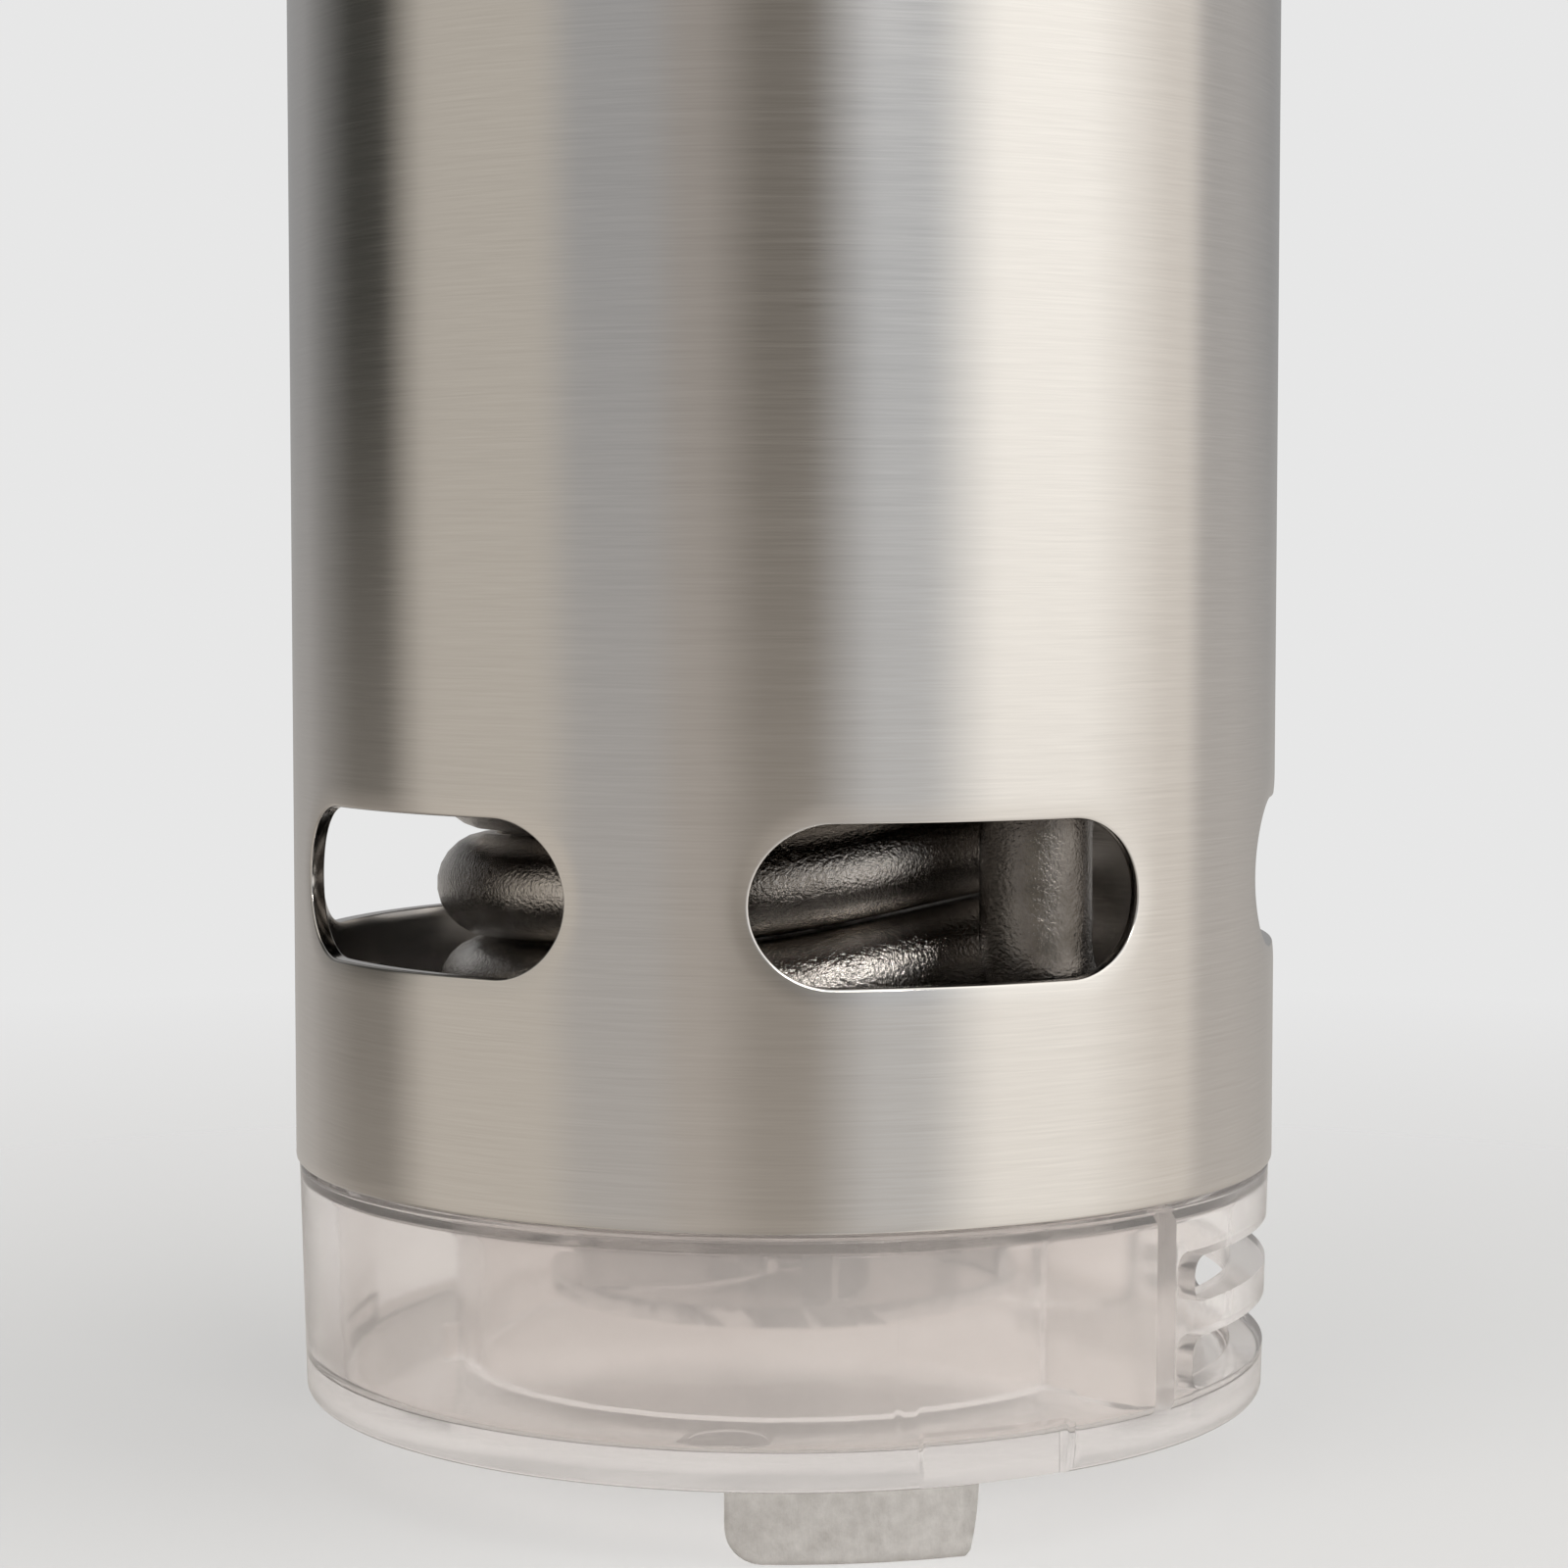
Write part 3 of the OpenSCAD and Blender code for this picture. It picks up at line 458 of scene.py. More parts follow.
def frosted_plastic():
    """The feet: a translucent moulding with a mottled, scuffed skin."""
    shader = Shader("frosted_feet")
    mottle = shader.noise(900, 5.0, 0.7)
    scuff = shader.noise(1.0, 3.0, 0.6, shader.scaled((2400, 2400, 700)))
    shader.use(
        colour=shader.blend(mottle, (0.50, 0.48, 0.46), (0.72, 0.70, 0.68), 0.3, 0.7),
        roughness=shader.ranged(scuff, 0.32, 0.55),
        normal=shader.bump(shader.math("ADD", mottle, scuff), 0.5, 0.00009),
    )
    shader.set(Transmission_Weight=0.4, IOR=1.45)
    return through_light(shader)


MATERIALS = {
    "steel_tube": brushed_tube(),
    "heater_sheath": sheath_steel(),
    "clear_plastic": clear_plastic(
        "clear_cap", (0.92, 0.89, 0.875), (0.965, 0.94, 0.925), (0.05, 0.11), 0.90, 1.33),
    "frosted_plastic": frosted_plastic(),
    "impeller_plastic": clear_plastic(
        "milky_impeller", (0.82, 0.80, 0.79), (0.90, 0.88, 0.87), (0.04, 0.10), 0.88, 1.49),
    "steel": turned_steel("turned_steel", (0.55, 0.54, 0.53), (0.72, 0.71, 0.70), (0.22, 0.34)),
    "dark_housing": plain_finish(
        "housing_plastic", (0.020, 0.020, 0.022), (0.030, 0.030, 0.032),
        (0.42, 0.54), 70, 0.5, 3200),
    "bezel_plastic": plain_finish(
        "bezel_plastic", (0.008, 0.008, 0.010), (0.014, 0.014, 0.016),
        (0.14, 0.22), 60, 0.05, 900, Coat_Weight=0.4, Coat_Roughness=0.06),
    "button_metal": turned_steel(
        "button_metal", (0.52, 0.51, 0.50), (0.66, 0.65, 0.64), (0.26, 0.36), (9000, 200, 200)),
    "wheel_rubber": plain_finish(
        "wheel_rubber", (0.030, 0.030, 0.032), (0.050, 0.050, 0.052), (0.55, 0.68), 120, 0.4, 2800),
    "seal_rubber": plain_finish(
        "seal_rubber", (0.016, 0.016, 0.017), (0.030, 0.030, 0.030), (0.5, 0.66), 150, 0.3, 2600),
    "silicone": plain_finish(
        "silicone", (0.42, 0.10, 0.07), (0.55, 0.15, 0.10), (0.45, 0.6), 90, 0.3, 1800),
    "bearing_plastic": plain_finish(
        "bearing_plastic", (0.045, 0.045, 0.050), (0.07, 0.07, 0.075), (0.3, 0.42), 200, 0.2, 2500),
    "ceramic": plain_finish(
        "ceramic", (0.72, 0.68, 0.60), (0.82, 0.79, 0.72), (0.5, 0.7), 140, 0.4, 2400),
    "brass": turned_steel("brass", (0.60, 0.42, 0.16), (0.74, 0.55, 0.24), (0.24, 0.36)),
    "zinc": plain_finish(
        "zinc", (0.34, 0.35, 0.36), (0.46, 0.47, 0.49), (0.32, 0.5), 240, 0.4, 1800, Metallic=1.0),
    "rotor_iron": plain_finish(
        "rotor_iron", (0.16, 0.14, 0.13), (0.27, 0.24, 0.22),
        (0.4, 0.6), 160, 0.5, 1500, Metallic=1.0),
    "circuit_board": plain_finish(
        "circuit_board", (0.012, 0.10, 0.045), (0.02, 0.16, 0.07), (0.28, 0.42), 260, 0.3, 900),
    "component_plastic": plain_finish(
        "component_plastic", (0.015, 0.016, 0.02), (0.04, 0.042, 0.05),
        (0.35, 0.5), 200, 0.3, 2400),
    "transformer_core": plain_finish(
        "transformer_core", (0.50, 0.36, 0.08), (0.64, 0.48, 0.14), (0.35, 0.5), 220, 0.4, 1400),
    "aluminium": turned_steel(
        "aluminium", (0.60, 0.60, 0.61), (0.76, 0.76, 0.77), (0.28, 0.42), (200, 9000, 200)),
    "clamp_plastic": plain_finish(
        "clamp_plastic", (0.022, 0.022, 0.024), (0.034, 0.034, 0.036),
        (0.4, 0.52), 80, 0.5, 3000),
    "sleeve_plastic": plain_finish(
        "sleeve_plastic", (0.05, 0.05, 0.052), (0.075, 0.075, 0.078), (0.38, 0.5), 90, 0.4, 2600),
    "pad_rubber": plain_finish(
        "pad_rubber", (0.035, 0.035, 0.036), (0.055, 0.055, 0.056), (0.6, 0.75), 130, 0.5, 2200),
}


def lens_material():
    """The smoked window over the display."""
    shader = Shader("smoked_lens")
    smear = shader.noise(70, 4.0)
    shader.use(
        colour=shader.blend(smear, (0.20, 0.21, 0.23), (0.26, 0.27, 0.29)),
        roughness=shader.ranged(smear, 0.03, 0.08),
    )
    shader.set(Transmission_Weight=0.9, IOR=1.49)
    return through_light(shader)


def glow_material(name, first, second, strength):
    """Lit segments, a little uneven like a real display."""
    shader = Shader(name)
    cells = shader.noise(900, 2.0)
    colour = shader.blend(cells, first, second)
    shader.use(colour=colour, roughness=shader.ranged(cells, 0.3, 0.45))
    shader.link(colour, shader.bsdf.inputs["Emission Color"])
    shader.set(Emission_Strength=strength)
    return shader.material


def lcd_material():
    """The dark glass of the display, with a fine cell pattern."""
    shader = Shader("lcd_glass")
    cells = shader.node("ShaderNodeTexVoronoi")
    cells.inputs["Scale"].default_value = 1800
    shader.link(shader.place, cells.inputs["Vector"])
    shader.use(
        colour=shader.blend(cells.outputs["Distance"], (0.012, 0.02, 0.026), (0.02, 0.032, 0.04)),
        roughness=shader.ranged(cells.outputs["Distance"], 0.18, 0.3),
    )
    return shader.material


MATERIALS["lens_plastic"] = lens_material()
MATERIALS["lcd"] = lcd_material()


# ---- Carried CAD nodes: rounded edges and a procedural finish ----

SLOT_OF = {part["node"]: part["material_slot"] for part in frame["record"]["subparts"]}


def dress(node_name, bevel=0.0, steps=3):
    """Give a CAD node its finish, and round its sharp edges by bevel millimetres."""
    obj = frame["nodes"][node_name]
    material = MATERIALS[SLOT_OF[node_name]]
    obj.data.materials.clear()
    obj.data.materials.append(material)
    for polygon in obj.data.polygons:
        polygon.material_index = 0
    weld = obj.modifiers.new("weld", "WELD")
    weld.merge_threshold = 2e-6
    if bevel:
        flat = obj.modifiers.new("flat", "DECIMATE")
        flat.decimate_type = "DISSOLVE"
        flat.angle_limit = math.radians(0.6)
        edge = obj.modifiers.new("edge", "BEVEL")
        edge.width = bevel * MM
        edge.segments = steps
        edge.limit_method = "ANGLE"
        edge.angle_limit = math.radians(40)
        edge.harden_normals = True
        edge.use_clamp_overlap = True
    return obj


# ---- Skirt tube ----


def slot_patch(az, rows, columns):
    """Rings of points from a slot's edge to its patch's border, outside and inside the tube.

    Returns the loops from the outer border, in over the rounded edge, through the wall and out
    to the inner border. Each point is (x, depth, z), with x and z across the slot.
    """
    half = (SLOT_W - SLOT_H) / 2
    hole = SLOT_H / 2
    border = [(c, rows[0]) for c in columns[:-1]]
    border += [(columns[-1], r) for r in rows[:-1]]
    border += [(c, rows[-1]) for c in reversed(columns[1:])]
    border += [(columns[0], r) for r in reversed(rows[1:])]
    outside, inside = [], []
    for phi, z in border:
        for radius, out in ((TUBE_R, outside), (BORE_R, inside)):
            x, up = radius * math.sin(math.radians(phi)), z - SLOT_Z
            centre = Vector((max(-half, min(half, x)), 0))
            out.append((Vector((x, up)), centre, (Vector((x, up)) - centre).normalized()))

    def loop_at(points, radius, offset, share=0.0):
        """The slot's outline grown by offset, moved by share of the way to the patch's border."""
        loop = []
        for at, centre, way in points:
            p = (centre + way * (hole + offset)).lerp(at, share)
            loop.append((p.x, -math.sqrt(radius * radius - p.x * p.x), p.y + SLOT_Z))
        return loop

    edge, dish, dip = 0.2, 1.1, 0.06
    loops = [loop_at(outside, TUBE_R, dish + edge, share) for share in (1, 0.75, 0.5, 0.28, 0.12)]
    for t in (0.0, 0.25, 0.5, 0.75):
        loops.append(loop_at(outside, TUBE_R - dip * t * t, edge + dish * (1 - t)))
    for a in span(0, math.pi / 2, 5):
        loops.append(loop_at(outside, TUBE_R - dip - (edge - dip) * (1 - math.cos(a)),
                             edge * (1 - math.sin(a))))
    loops.append(loop_at(inside, (TUBE_R + BORE_R) / 2, 0.0))
    inner_edge = 0.12
    for a in span(math.pi / 2, 0, 3):
        loops.append(loop_at(inside, BORE_R + inner_edge * (1 - math.cos(a)),
                             inner_edge * (1 - math.sin(a))))
    loops += [loop_at(inside, BORE_R, inner_edge, share) for share in (0.15, 0.4, 0.7, 1)]
    turn = math.radians(az)
    cos, sin = math.cos(turn), math.sin(turn)
    return [[(x * cos - y * sin, x * sin + y * cos, z) for x, y, z in loop] for loop in loops]


def build_tube():
    """The tube in one skin: slot patches, the stretches between them, rims and plain walls."""
    half_turn = 29
    band = 9.0
    rows = span(SLOT_Z - band, SLOT_Z + band, 24)
    columns = span(-half_turn, half_turn, 2 * half_turn)
    verts, faces = [], []

    def add_grid(azimuths, heights, radius):
        start = len(verts)
        for az in azimuths:
            for z in heights:
                verts.append(polar(radius, az, z))
        size = len(heights)
        for i in range(len(azimuths) - 1):
            for k in range(size - 1):
                a = start + i * size + k
                faces.append((a, a + size, a + size + 1, a + 1))

    slots = sorted(SLOT_AZIMUTHS)
    full = []
    for i, az in enumerate(slots):
        after = slots[(i + 1) % len(slots)] + (360 if i + 1 == len(slots) else 0)
        full += [az + c for c in columns]
        gap = (az + half_turn, after - half_turn)
        between = span(*gap, max(2, round(gap[1] - gap[0])))
        full += between[1:-1]
        for radius in (TUBE_R, BORE_R):
            add_grid(between, rows, radius)
        start = len(verts)
        loops = slot_patch(az, rows, columns)
        for loop in loops:
            verts.extend(loop)
        for quad in loops_to_faces(loops):
            faces.append(tuple(start + v for v in quad))
    full.append(full[0] + 360)
    rim = 0.25
    lowest = [(TUBE_R - rim * (1 - math.sin(math.radians(a))),
               TUBE_LOW + rim * (1 - math.cos(math.radians(a)))) for a in span(0, 90, 4)]
    start = len(verts)
    profile = [(BORE_R, TUBE_LOW + rim), (BORE_R + 0.1, TUBE_LOW)] + lowest
    for az in full:
        for r, z in profile:
            verts.append(polar(r, az, z))
    size = len(profile)
    for i in range(len(full) - 1):
        for k in range(size - 1):
            a = start + i * size + k
            faces.append((a, a + size, a + size + 1, a + 1))
    below = [TUBE_LOW + rim, TUBE_LOW + 1.0, TUBE_LOW + 4.5, rows[0]]
    above = [rows[-1]] + span(rows[-1] + 4, TUBE_TOP, 24)
    for radius in (TUBE_R, BORE_R):
        add_grid(full, below, radius)
        add_grid(full, above, radius)
    start = len(verts)
    for az in full:
        verts.append(polar(BORE_R, az, TUBE_TOP))
        verts.append(polar(TUBE_R, az, TUBE_TOP))
    for i in range(len(full) - 1):
        a = start + 2 * i
        faces.append((a, a + 1, a + 3, a + 2))
    return make("skirt_tube_brushed", verts, faces)


tube = shade_by_angle(build_tube(), 50)
finish_piece(tube, "circulator", MATERIALS["steel_tube"], ["skirt_tube"])


# ---- Heater ----

SHEATH_R = 3.15
COIL_CENTRE = Vector((-1.1, 0.8, 0))
COIL_R, COIL_PITCH, COIL_Z, COIL_START, COIL_TURNS = 17.2, 6.5, 26.0, 116.0, 7.25
JOGGLE_START, JOGGLE_END, JOGGLE_RISE = -20.0, 50.0, 1.9
RISER_R, RISER_AZ, BEND_R, LEAD_DROP = 25.4, 33.5, 8.0, 0.6
LEG_TOP = 156.0


def ease(t):
    t = max(0.0, min(1.0, t))
    return t * t * (3 - 2 * t)


def coil_rise(az):
    turn = az - JOGGLE_START
    return ((COIL_PITCH - JOGGLE_RISE) * az / 360
            + JOGGLE_RISE * (math.floor(turn / 360)
                             + ease(math.fmod(turn, 360) / (JOGGLE_END - JOGGLE_START))))


def coil_point(az):
    height = COIL_Z + coil_rise(az) - coil_rise(COIL_START)
    return COIL_CENTRE + polar(COIL_R, az, height)


def heater_path():
    """Down the front riser, inwards to the coil, up its turns and on up the rear riser."""
    leg = polar(RISER_R, RISER_AZ)
    path = [Vector((leg.x, leg.y, z)) for z in span(LEG_TOP, COIL_Z - LEAD_DROP + BEND_R, 60)]
    for a in span(0, 90, 12)[1:]:
        a = math.radians(a)
        az = RISER_AZ + math.degrees(BEND_R * (1 - math.cos(a)) / RISER_R)
        path.append(polar(RISER_R, az, COIL_Z - LEAD_DROP + BEND_R * (1 - math.sin(a))))
    first = RISER_AZ + math.degrees(BEND_R / RISER_R)
    for t in span(0, 1, 24)[1:-1]:
        az = first + (COIL_START - first) * t
        w = ease(t)
        outer = polar(RISER_R, az)
        point = outer.lerp(coil_point(az), w)
        path.append(Vector((point.x, point.y, COIL_Z - LEAD_DROP * (1 - w))))
    last = COIL_START + 360 * COIL_TURNS
    path += [coil_point(az) for az in span(COIL_START, last, round(72 * COIL_TURNS))]
    end = coil_point(last)
    way = Vector((math.cos(math.radians(last)), math.sin(math.radians(last)), 0))
    for a in span(0, 90, 12)[1:]:
        a = math.radians(a)
        lift = Vector((0, 0, BEND_R * (1 - math.cos(a))))
        path.append(end + way * (BEND_R * math.sin(a)) + lift)
    top = path[-1]
    path += [Vector((top.x, top.y, z)) for z in span(top.z, LEG_TOP, 40)[1:]]
    return path


heater = shade_by_angle(sweep("heater_coil", heater_path(), SHEATH_R, 24), 60)
finish_piece(heater, "circulator", MATERIALS["heater_sheath"], ["heater_element"])


# ---- Pump cap ----

LUG_START, LUG_END, LUG_H = -78.6, -75.4, 3.0
GATE_X, GATE_Y = -3.06, -24.4
PARTING_START, PARTING_END = 11.95, 12.2
WINDOW_START, WINDOW_END, WINDOWS = 52, 114, ((6.9, 10.0), (12.0, 14.7))
RECESS_START, RECESS_END, RECESS_DEEP, RECESS_LOW, RECESS_HIGH = 14.3, 33.0, 0.34, 2.5, 7.3


def build_cap():
    """The clear cap: its cup and spigot, the volute inside, the windows and rim recesses."""
    seal_in, seal_low, seal_high = 27.2, 18.8, 20.8
    profile = rounded([
        (0, FOOT_H, 0), (CAP_RIM_R, FOOT_H, 0.35), (CAP_TOP_R, CAP_TOP, 0.2),
        (SPIGOT_R, CAP_TOP, 0.1), (SPIGOT_R, seal_low, 0.1), (seal_in, seal_low, 0.1),
        (seal_in, seal_high, 0.1), (SPIGOT_R, seal_high, 0.1), (SPIGOT_R, SPIGOT_Z, 0.3),
        (SPIGOT_INNER_R, SPIGOT_Z, 0.3), (SPIGOT_INNER_R, CAP_TOP - 0.3, 0.3),
        (CAP_INNER_R, CAP_TOP - 1.2, 0.5), (CAP_INNER_R, FLOOR_Z, 0.8), (0, FLOOR_Z, 0),
    ])
    cap = lathe("pump_cap_clear", profile, 180)
    root = FLOOR_Z - 0.9
    parts = [sector("volute", VOLUTE_R - VOLUTE_WALL, VOLUTE_R, root, WALL_TOP,
                    DUCT_END, 360 + DUCT_START, step=2)]
    for az in (DUCT_START, DUCT_END):
        turn = math.degrees(VOLUTE_WALL / 2 / 24)
        parts.append(sector("duct_wall", VOLUTE_R - 0.9, CAP_INNER_R + 0.25, root,
                            WALL_TOP - 0.3, az - turn, az + turn, step=1))
    parts.append(sector("lug", VOLUTE_R - 0.2, VOLUTE_R + 1.0, root, root + LUG_H,
                        LUG_START, LUG_END, step=1))
    gate = lathe("gate_mark", [(2.15, FLOOR_Z - 0.3), (2.45, FLOOR_Z - 0.3),
                               (2.4, FLOOR_Z + 0.07), (2.2, FLOOR_Z + 0.07)], 40)
    gate.data.transform(Matrix.Translation(Vector((GATE_X, GATE_Y, 0)) * MM))
    parts.append(gate)
    parts.append(loft("parting_line", [
        [polar(29.0, az, 7.6), polar(29.57, az, 7.6), polar(29.82, az, 17.7), polar(29.0, az, 17.7)]
        for az in (PARTING_START, PARTING_END)
    ]))
    join_solids(cap, parts, "UNION")
    past = CAP_TOP_R + 1.2
    cutters = [sector("window", CAP_INNER_R - 2.35, past, low, high, WINDOW_START, WINDOW_END,
                      corner=1.0) for low, high in WINDOWS]
    for i in range(3):
        loops = []
        for az in span(RECESS_START, RECESS_END, 44):
            # the ends run out over half a degree and one and a half
            fade = min((az - RECESS_START) / 0.5, (RECESS_END - az) / 1.5) - 0.1
            r = CAP_RIM_R - RECESS_DEEP * min(1.0, fade)
            at = az + 120 * i
            loops.append([polar(r, at, RECESS_LOW), polar(past, at, RECESS_LOW),
                          polar(past, at, RECESS_HIGH + 1.2), polar(29.7, at, RECESS_HIGH),
                          polar(r, at, RECESS_HIGH - 0.5)])
        cutters.append(loft("recess", loops))
    join_solids(cap, cutters, "DIFFERENCE")
    return shade_by_angle(cap, 35)


cap = build_cap()
finish_piece(cap, "pump_cap", MATERIALS["clear_plastic"], ["pump_cap"])


def build_foot(name, turn):
    """A foot with rounded corners; one end leans in towards the floor."""
    low_az, high_az = -6.4, 21.5
    top = FOOT_H - 0.02  # a film of air keeps the clear cap's underside its own
    lean, round_r, edge = 1.3, 2.0, 0.45
    round_turn = math.degrees(round_r / 28)
    loops = []
    for s in span(0, 1, 40):
        az = low_az + (high_az - low_az) * (0.5 - 0.5 * math.cos(math.pi * s))
        near = min(az - low_az, round_turn)
        z0 = round_r * (1 - math.sqrt(max(0, 1 - (1 - near / round_turn) ** 2))) * 0.98
        far = (high_az - az) / lean
        if far < 1:
            z0 = max(z0, FOOT_H * 0.93 * (1 - far) ** 1.6)
        side = min(1.0, (az - low_az) / 0.8 + 0.25, (high_az - az) / 0.8 + 0.25)
        inset = edge * (1 - math.sqrt(max(0, 1 - (1 - side) ** 2)))
        section = rounded([
            (26.7 + inset, top, 0), (26.7 + inset, z0, edge * 0.9),
            (29.2 - inset, z0, edge * 0.9), (29.2 - inset, top, 0),
        ], 5)
        loops.append([polar(r, az + turn, min(z, top)) for r, z in section])
    return loft(name, loops)


for foot_name, foot_turn in (("foot_front", 0), ("foot_rear_right", 120), ("foot_rear_left", 240)):
    foot = shade_by_angle(build_foot(foot_name + "_frosted", foot_turn), 60)
    finish_piece(foot, "pump_cap", MATERIALS["frosted_plastic"], [foot_name])


# ---- Control face: dished buttons, their icons and the display's digits ----

HEAD_R, FACE_Z, FACE_TILT = 40.0, 276.0, 28.0
LENS_Y, BUTTON_X, BUTTON_Y = 52.3, 13.0, 17.0
ON_FACE = (Matrix.Translation(Vector((0, -HEAD_R, FACE_Z)) * MM)
           @ Matrix.Rotation(math.radians(FACE_TILT), 4, "X"))


def placed(obj, matrix, shift=(0, 0, 0)):
    """Shift a mesh by millimetres, then move it by a matrix."""
    obj.data.transform(matrix @ Matrix.Translation(Vector(shift) * MM))
    obj.data.update()
    return obj


def prisms(name, outlines, low, high):
    """Several flat plates, each from its outline, as one piece."""
    verts, faces = [], []
    for outline in outlines:
        start, count = len(verts), len(outline)
        verts += [(x, y, low) for x, y in outline] + [(x, y, high) for x, y in outline]
        faces.append(tuple(start + count - 1 - i for i in range(count)))
        faces.append(tuple(start + count + i for i in range(count)))
        for i in range(count):
            n = (i + 1) % count
            faces.append((start + i, start + n, start + count + n, start + count + i))
    return make(name, verts, faces, smooth=False)


def bar(x, y, length, thick, upright):
    """A display segment with pointed ends, centred on (x, y)."""
    half, t = length / 2, thick / 2
    outline = [(-half, 0), (-half + t, -t), (half - t, -t),
               (half, 0), (half - t, t), (-half + t, t)]
    return [(x - v, y + u) if upright else (x + u, y + v) for u, v in outline]


SEGMENTS = {"0": "abcdef", "3": "abcdg", "5": "acdfg", "6": "acdefg", "1": "bc"}


def digit(character, x, y, width, height):
    """The lit segments of one seven-segment character; (x, y) is its lower left corner."""
    thick, gap = height * 0.13, 0.12
    level, upright = width - 2 * gap, height / 2 - gap
    middle, right = x + width / 2, x + width
    low, high = y + height * 0.25, y + height * 0.75
    places = {
        "a": (middle, y + height), "g": (middle, y + height / 2), "d": (middle, y),
        "f": (x, high), "b": (right, high), "e": (x, low), "c": (right, low),
    }
    return [bar(*places[key], level if key in "agd" else upright, thick, key not in "agd")
            for key in SEGMENTS[character]]


def dot(x, y, size):
    turns = [TAU * k / 12 for k in range(12)]
    return [(x + size * math.cos(a), y + size * math.sin(a)) for a in turns]


def build_digits():
    outlines = []
    for character, x in (("6", -10.2), ("0", -3.2), ("5", 5.2)):
        outlines += digit(character, x, LENS_Y - 1.6, 4.6, 8.4)
    outlines.append(dot(3.3, LENS_Y - 1.6, 0.55))
    for character, x in (("0", -7.6), ("1", -4.6), ("3", 0.6), ("0", 3.6)):
        outlines += digit(character, x, LENS_Y - 8.2, 2.0, 3.6)
    outlines += [dot(-1.0, LENS_Y - 7.2, 0.28), dot(-1.0, LENS_Y - 5.6, 0.28)]
    return placed(prisms("display_digits", outlines, -1.98, -1.78), ON_FACE)


finish_piece(build_digits(), "circulator",
             glow_material("lit_segments", (0.55, 0.80, 1.0), (0.75, 0.92, 1.0), 1.6))


def build_button(name, side):
    profile = rounded([
        (0, -4.4, 0), (6, -4.4, 0.1), (6, -3.2, 0.1), (5, -3.2, 0.1), (5, 0.8, 0.3),
        (4.25, 0.8, 0.2), (3.9, 0.45, 0.15), (0, 0.3, 0),
    ])
    button = shade_by_angle(lathe(name, profile, 64), 40)
    return placed(button, ON_FACE, (side * BUTTON_X, BUTTON_Y, 0))


def icon_ring(x, y, gap):
    """A ring of short plates, open by gap degrees at its top."""
    plates = []
    stops = span(90 + gap / 2, 450 - gap / 2, 24)
    for a, b in zip(stops, stops[1:]):
        plates.append([(x + r * math.cos(math.radians(t)), y + r * math.sin(math.radians(t)))
                       for r, t in ((1.55, a), (1.55, b), (1.95, b), (1.95, a))])
    return plates


def box_outline(x0, y0, x1, y1):
    return [(x0, y0), (x1, y0), (x1, y1), (x0, y1)]


START_BAR = [box_outline(-0.2, 0.4, 0.2, 2.2)]
CLOCK_HANDS = [box_outline(-0.17, 0, 0.17, 1.25), box_outline(0.17, 0, 0.95, 0.34)]
for button_name, side, gap, hands in (
        ("start_button", -1, 70, START_BAR), ("timer_button", 1, 0, CLOCK_HANDS)):
    piece = build_button(button_name + "_dished", side)
    finish_piece(piece, button_name, MATERIALS[SLOT_OF[button_name]],
                 [button_name])
    icon = placed(prisms(button_name + "_icon", icon_ring(0, 0, gap) + hands, 0.2, 0.5),
                  ON_FACE, (side * BUTTON_X, BUTTON_Y, 0))
    finish_piece(icon, button_name, MATERIALS["bezel_plastic"])


# ---- Clamp: threaded screw, lobed knob and fluted lock screw ----

SCREW_Z, PAD_Y, KNOB_Y = 124.0, 53.5, 77.5
RING_Z, RING_R, LOCK_REACH = 160.0, 36.0, 20.0
ALONG_Y = Matrix.Rotation(math.radians(-90), 4, "X")
ALONG_X = Matrix.Rotation(math.radians(90), 4, "Y")


def turned(name, rings, steps):
    """A closed solid about Z. Each ring is (height, radius), the radius a number or a
    function of the angle in degrees."""
    loops = []
    for z, radius in rings:
        loops.append([
            polar(radius(360 * i / steps) if callable(radius) else radius, 360 * i / steps, z)
            for i in range(steps)
        ])
    return loft(name, loops)


def build_screw():
    crest, root, pitch, length = 3.0, 2.52, 1.5, 33.0

    def thread(z):
        def radius(angle):
            phase = (z / pitch - angle / 360) % 1
            return root + (crest - root) * min(1.0, max(0.0, 1.25 * abs(2 * phase - 1) - 0.1))
        return radius

    rings = [(0, 2.5), (0.3, 2.9), (2.6, 2.9), (2.9, 2.5)]
    rings += [(z, thread(z)) for z in span(3.0, length - 0.5, 150)]
    rings += [(length, 2.4)]
    return turned("clamp_screw_threaded", rings, 40)


def lobes(angle):
    """The knob's outline: six scallops in a round."""
    nearest = math.radians((angle + 30) % 60 - 30)
    far, scallop = 13.2, 4.0
    side = far * math.sin(nearest)
    if abs(side) >= scallop:
        return 11.0
    return min(11.0, far * math.cos(nearest) - math.sqrt(scallop ** 2 - side ** 2))


def shrunk(outline, by):
    return lambda angle: outline(angle) - by


def edge_rings(outline, size, steps, top=None):
    """Rings that round an edge of a turned solid, at its foot or, with a top, at its head."""
    rings = []
    for t in span(0, math.pi / 2, steps):
        wide, near = size * (1 - math.cos(t)), size * (1 - math.sin(t))
        if top is None:
            rings.append((wide, shrunk(outline, near)))
        else:
            rings.append((top - near, shrunk(outline, wide)))
    return rings


def build_knob():
    rings = [(11.2, 0.4), (11.2, 3.05), (0.3, 3.05), (0.0, 3.4), (0.0, 5.2), (0.35, 5.4),
             (0.35, shrunk(lobes, 1.6)), (0.05, shrunk(lobes, 1.0))]
    rings += edge_rings(lobes, 0.5, 4)[1:] + edge_rings(lobes, 1.3, 6, 12)
    rings += [(12.0, shrunk(lobes, 2.0)), (11.6, 5.0), (11.6, 0.4)]
    return turned("clamp_knob_lobed", rings, 144)


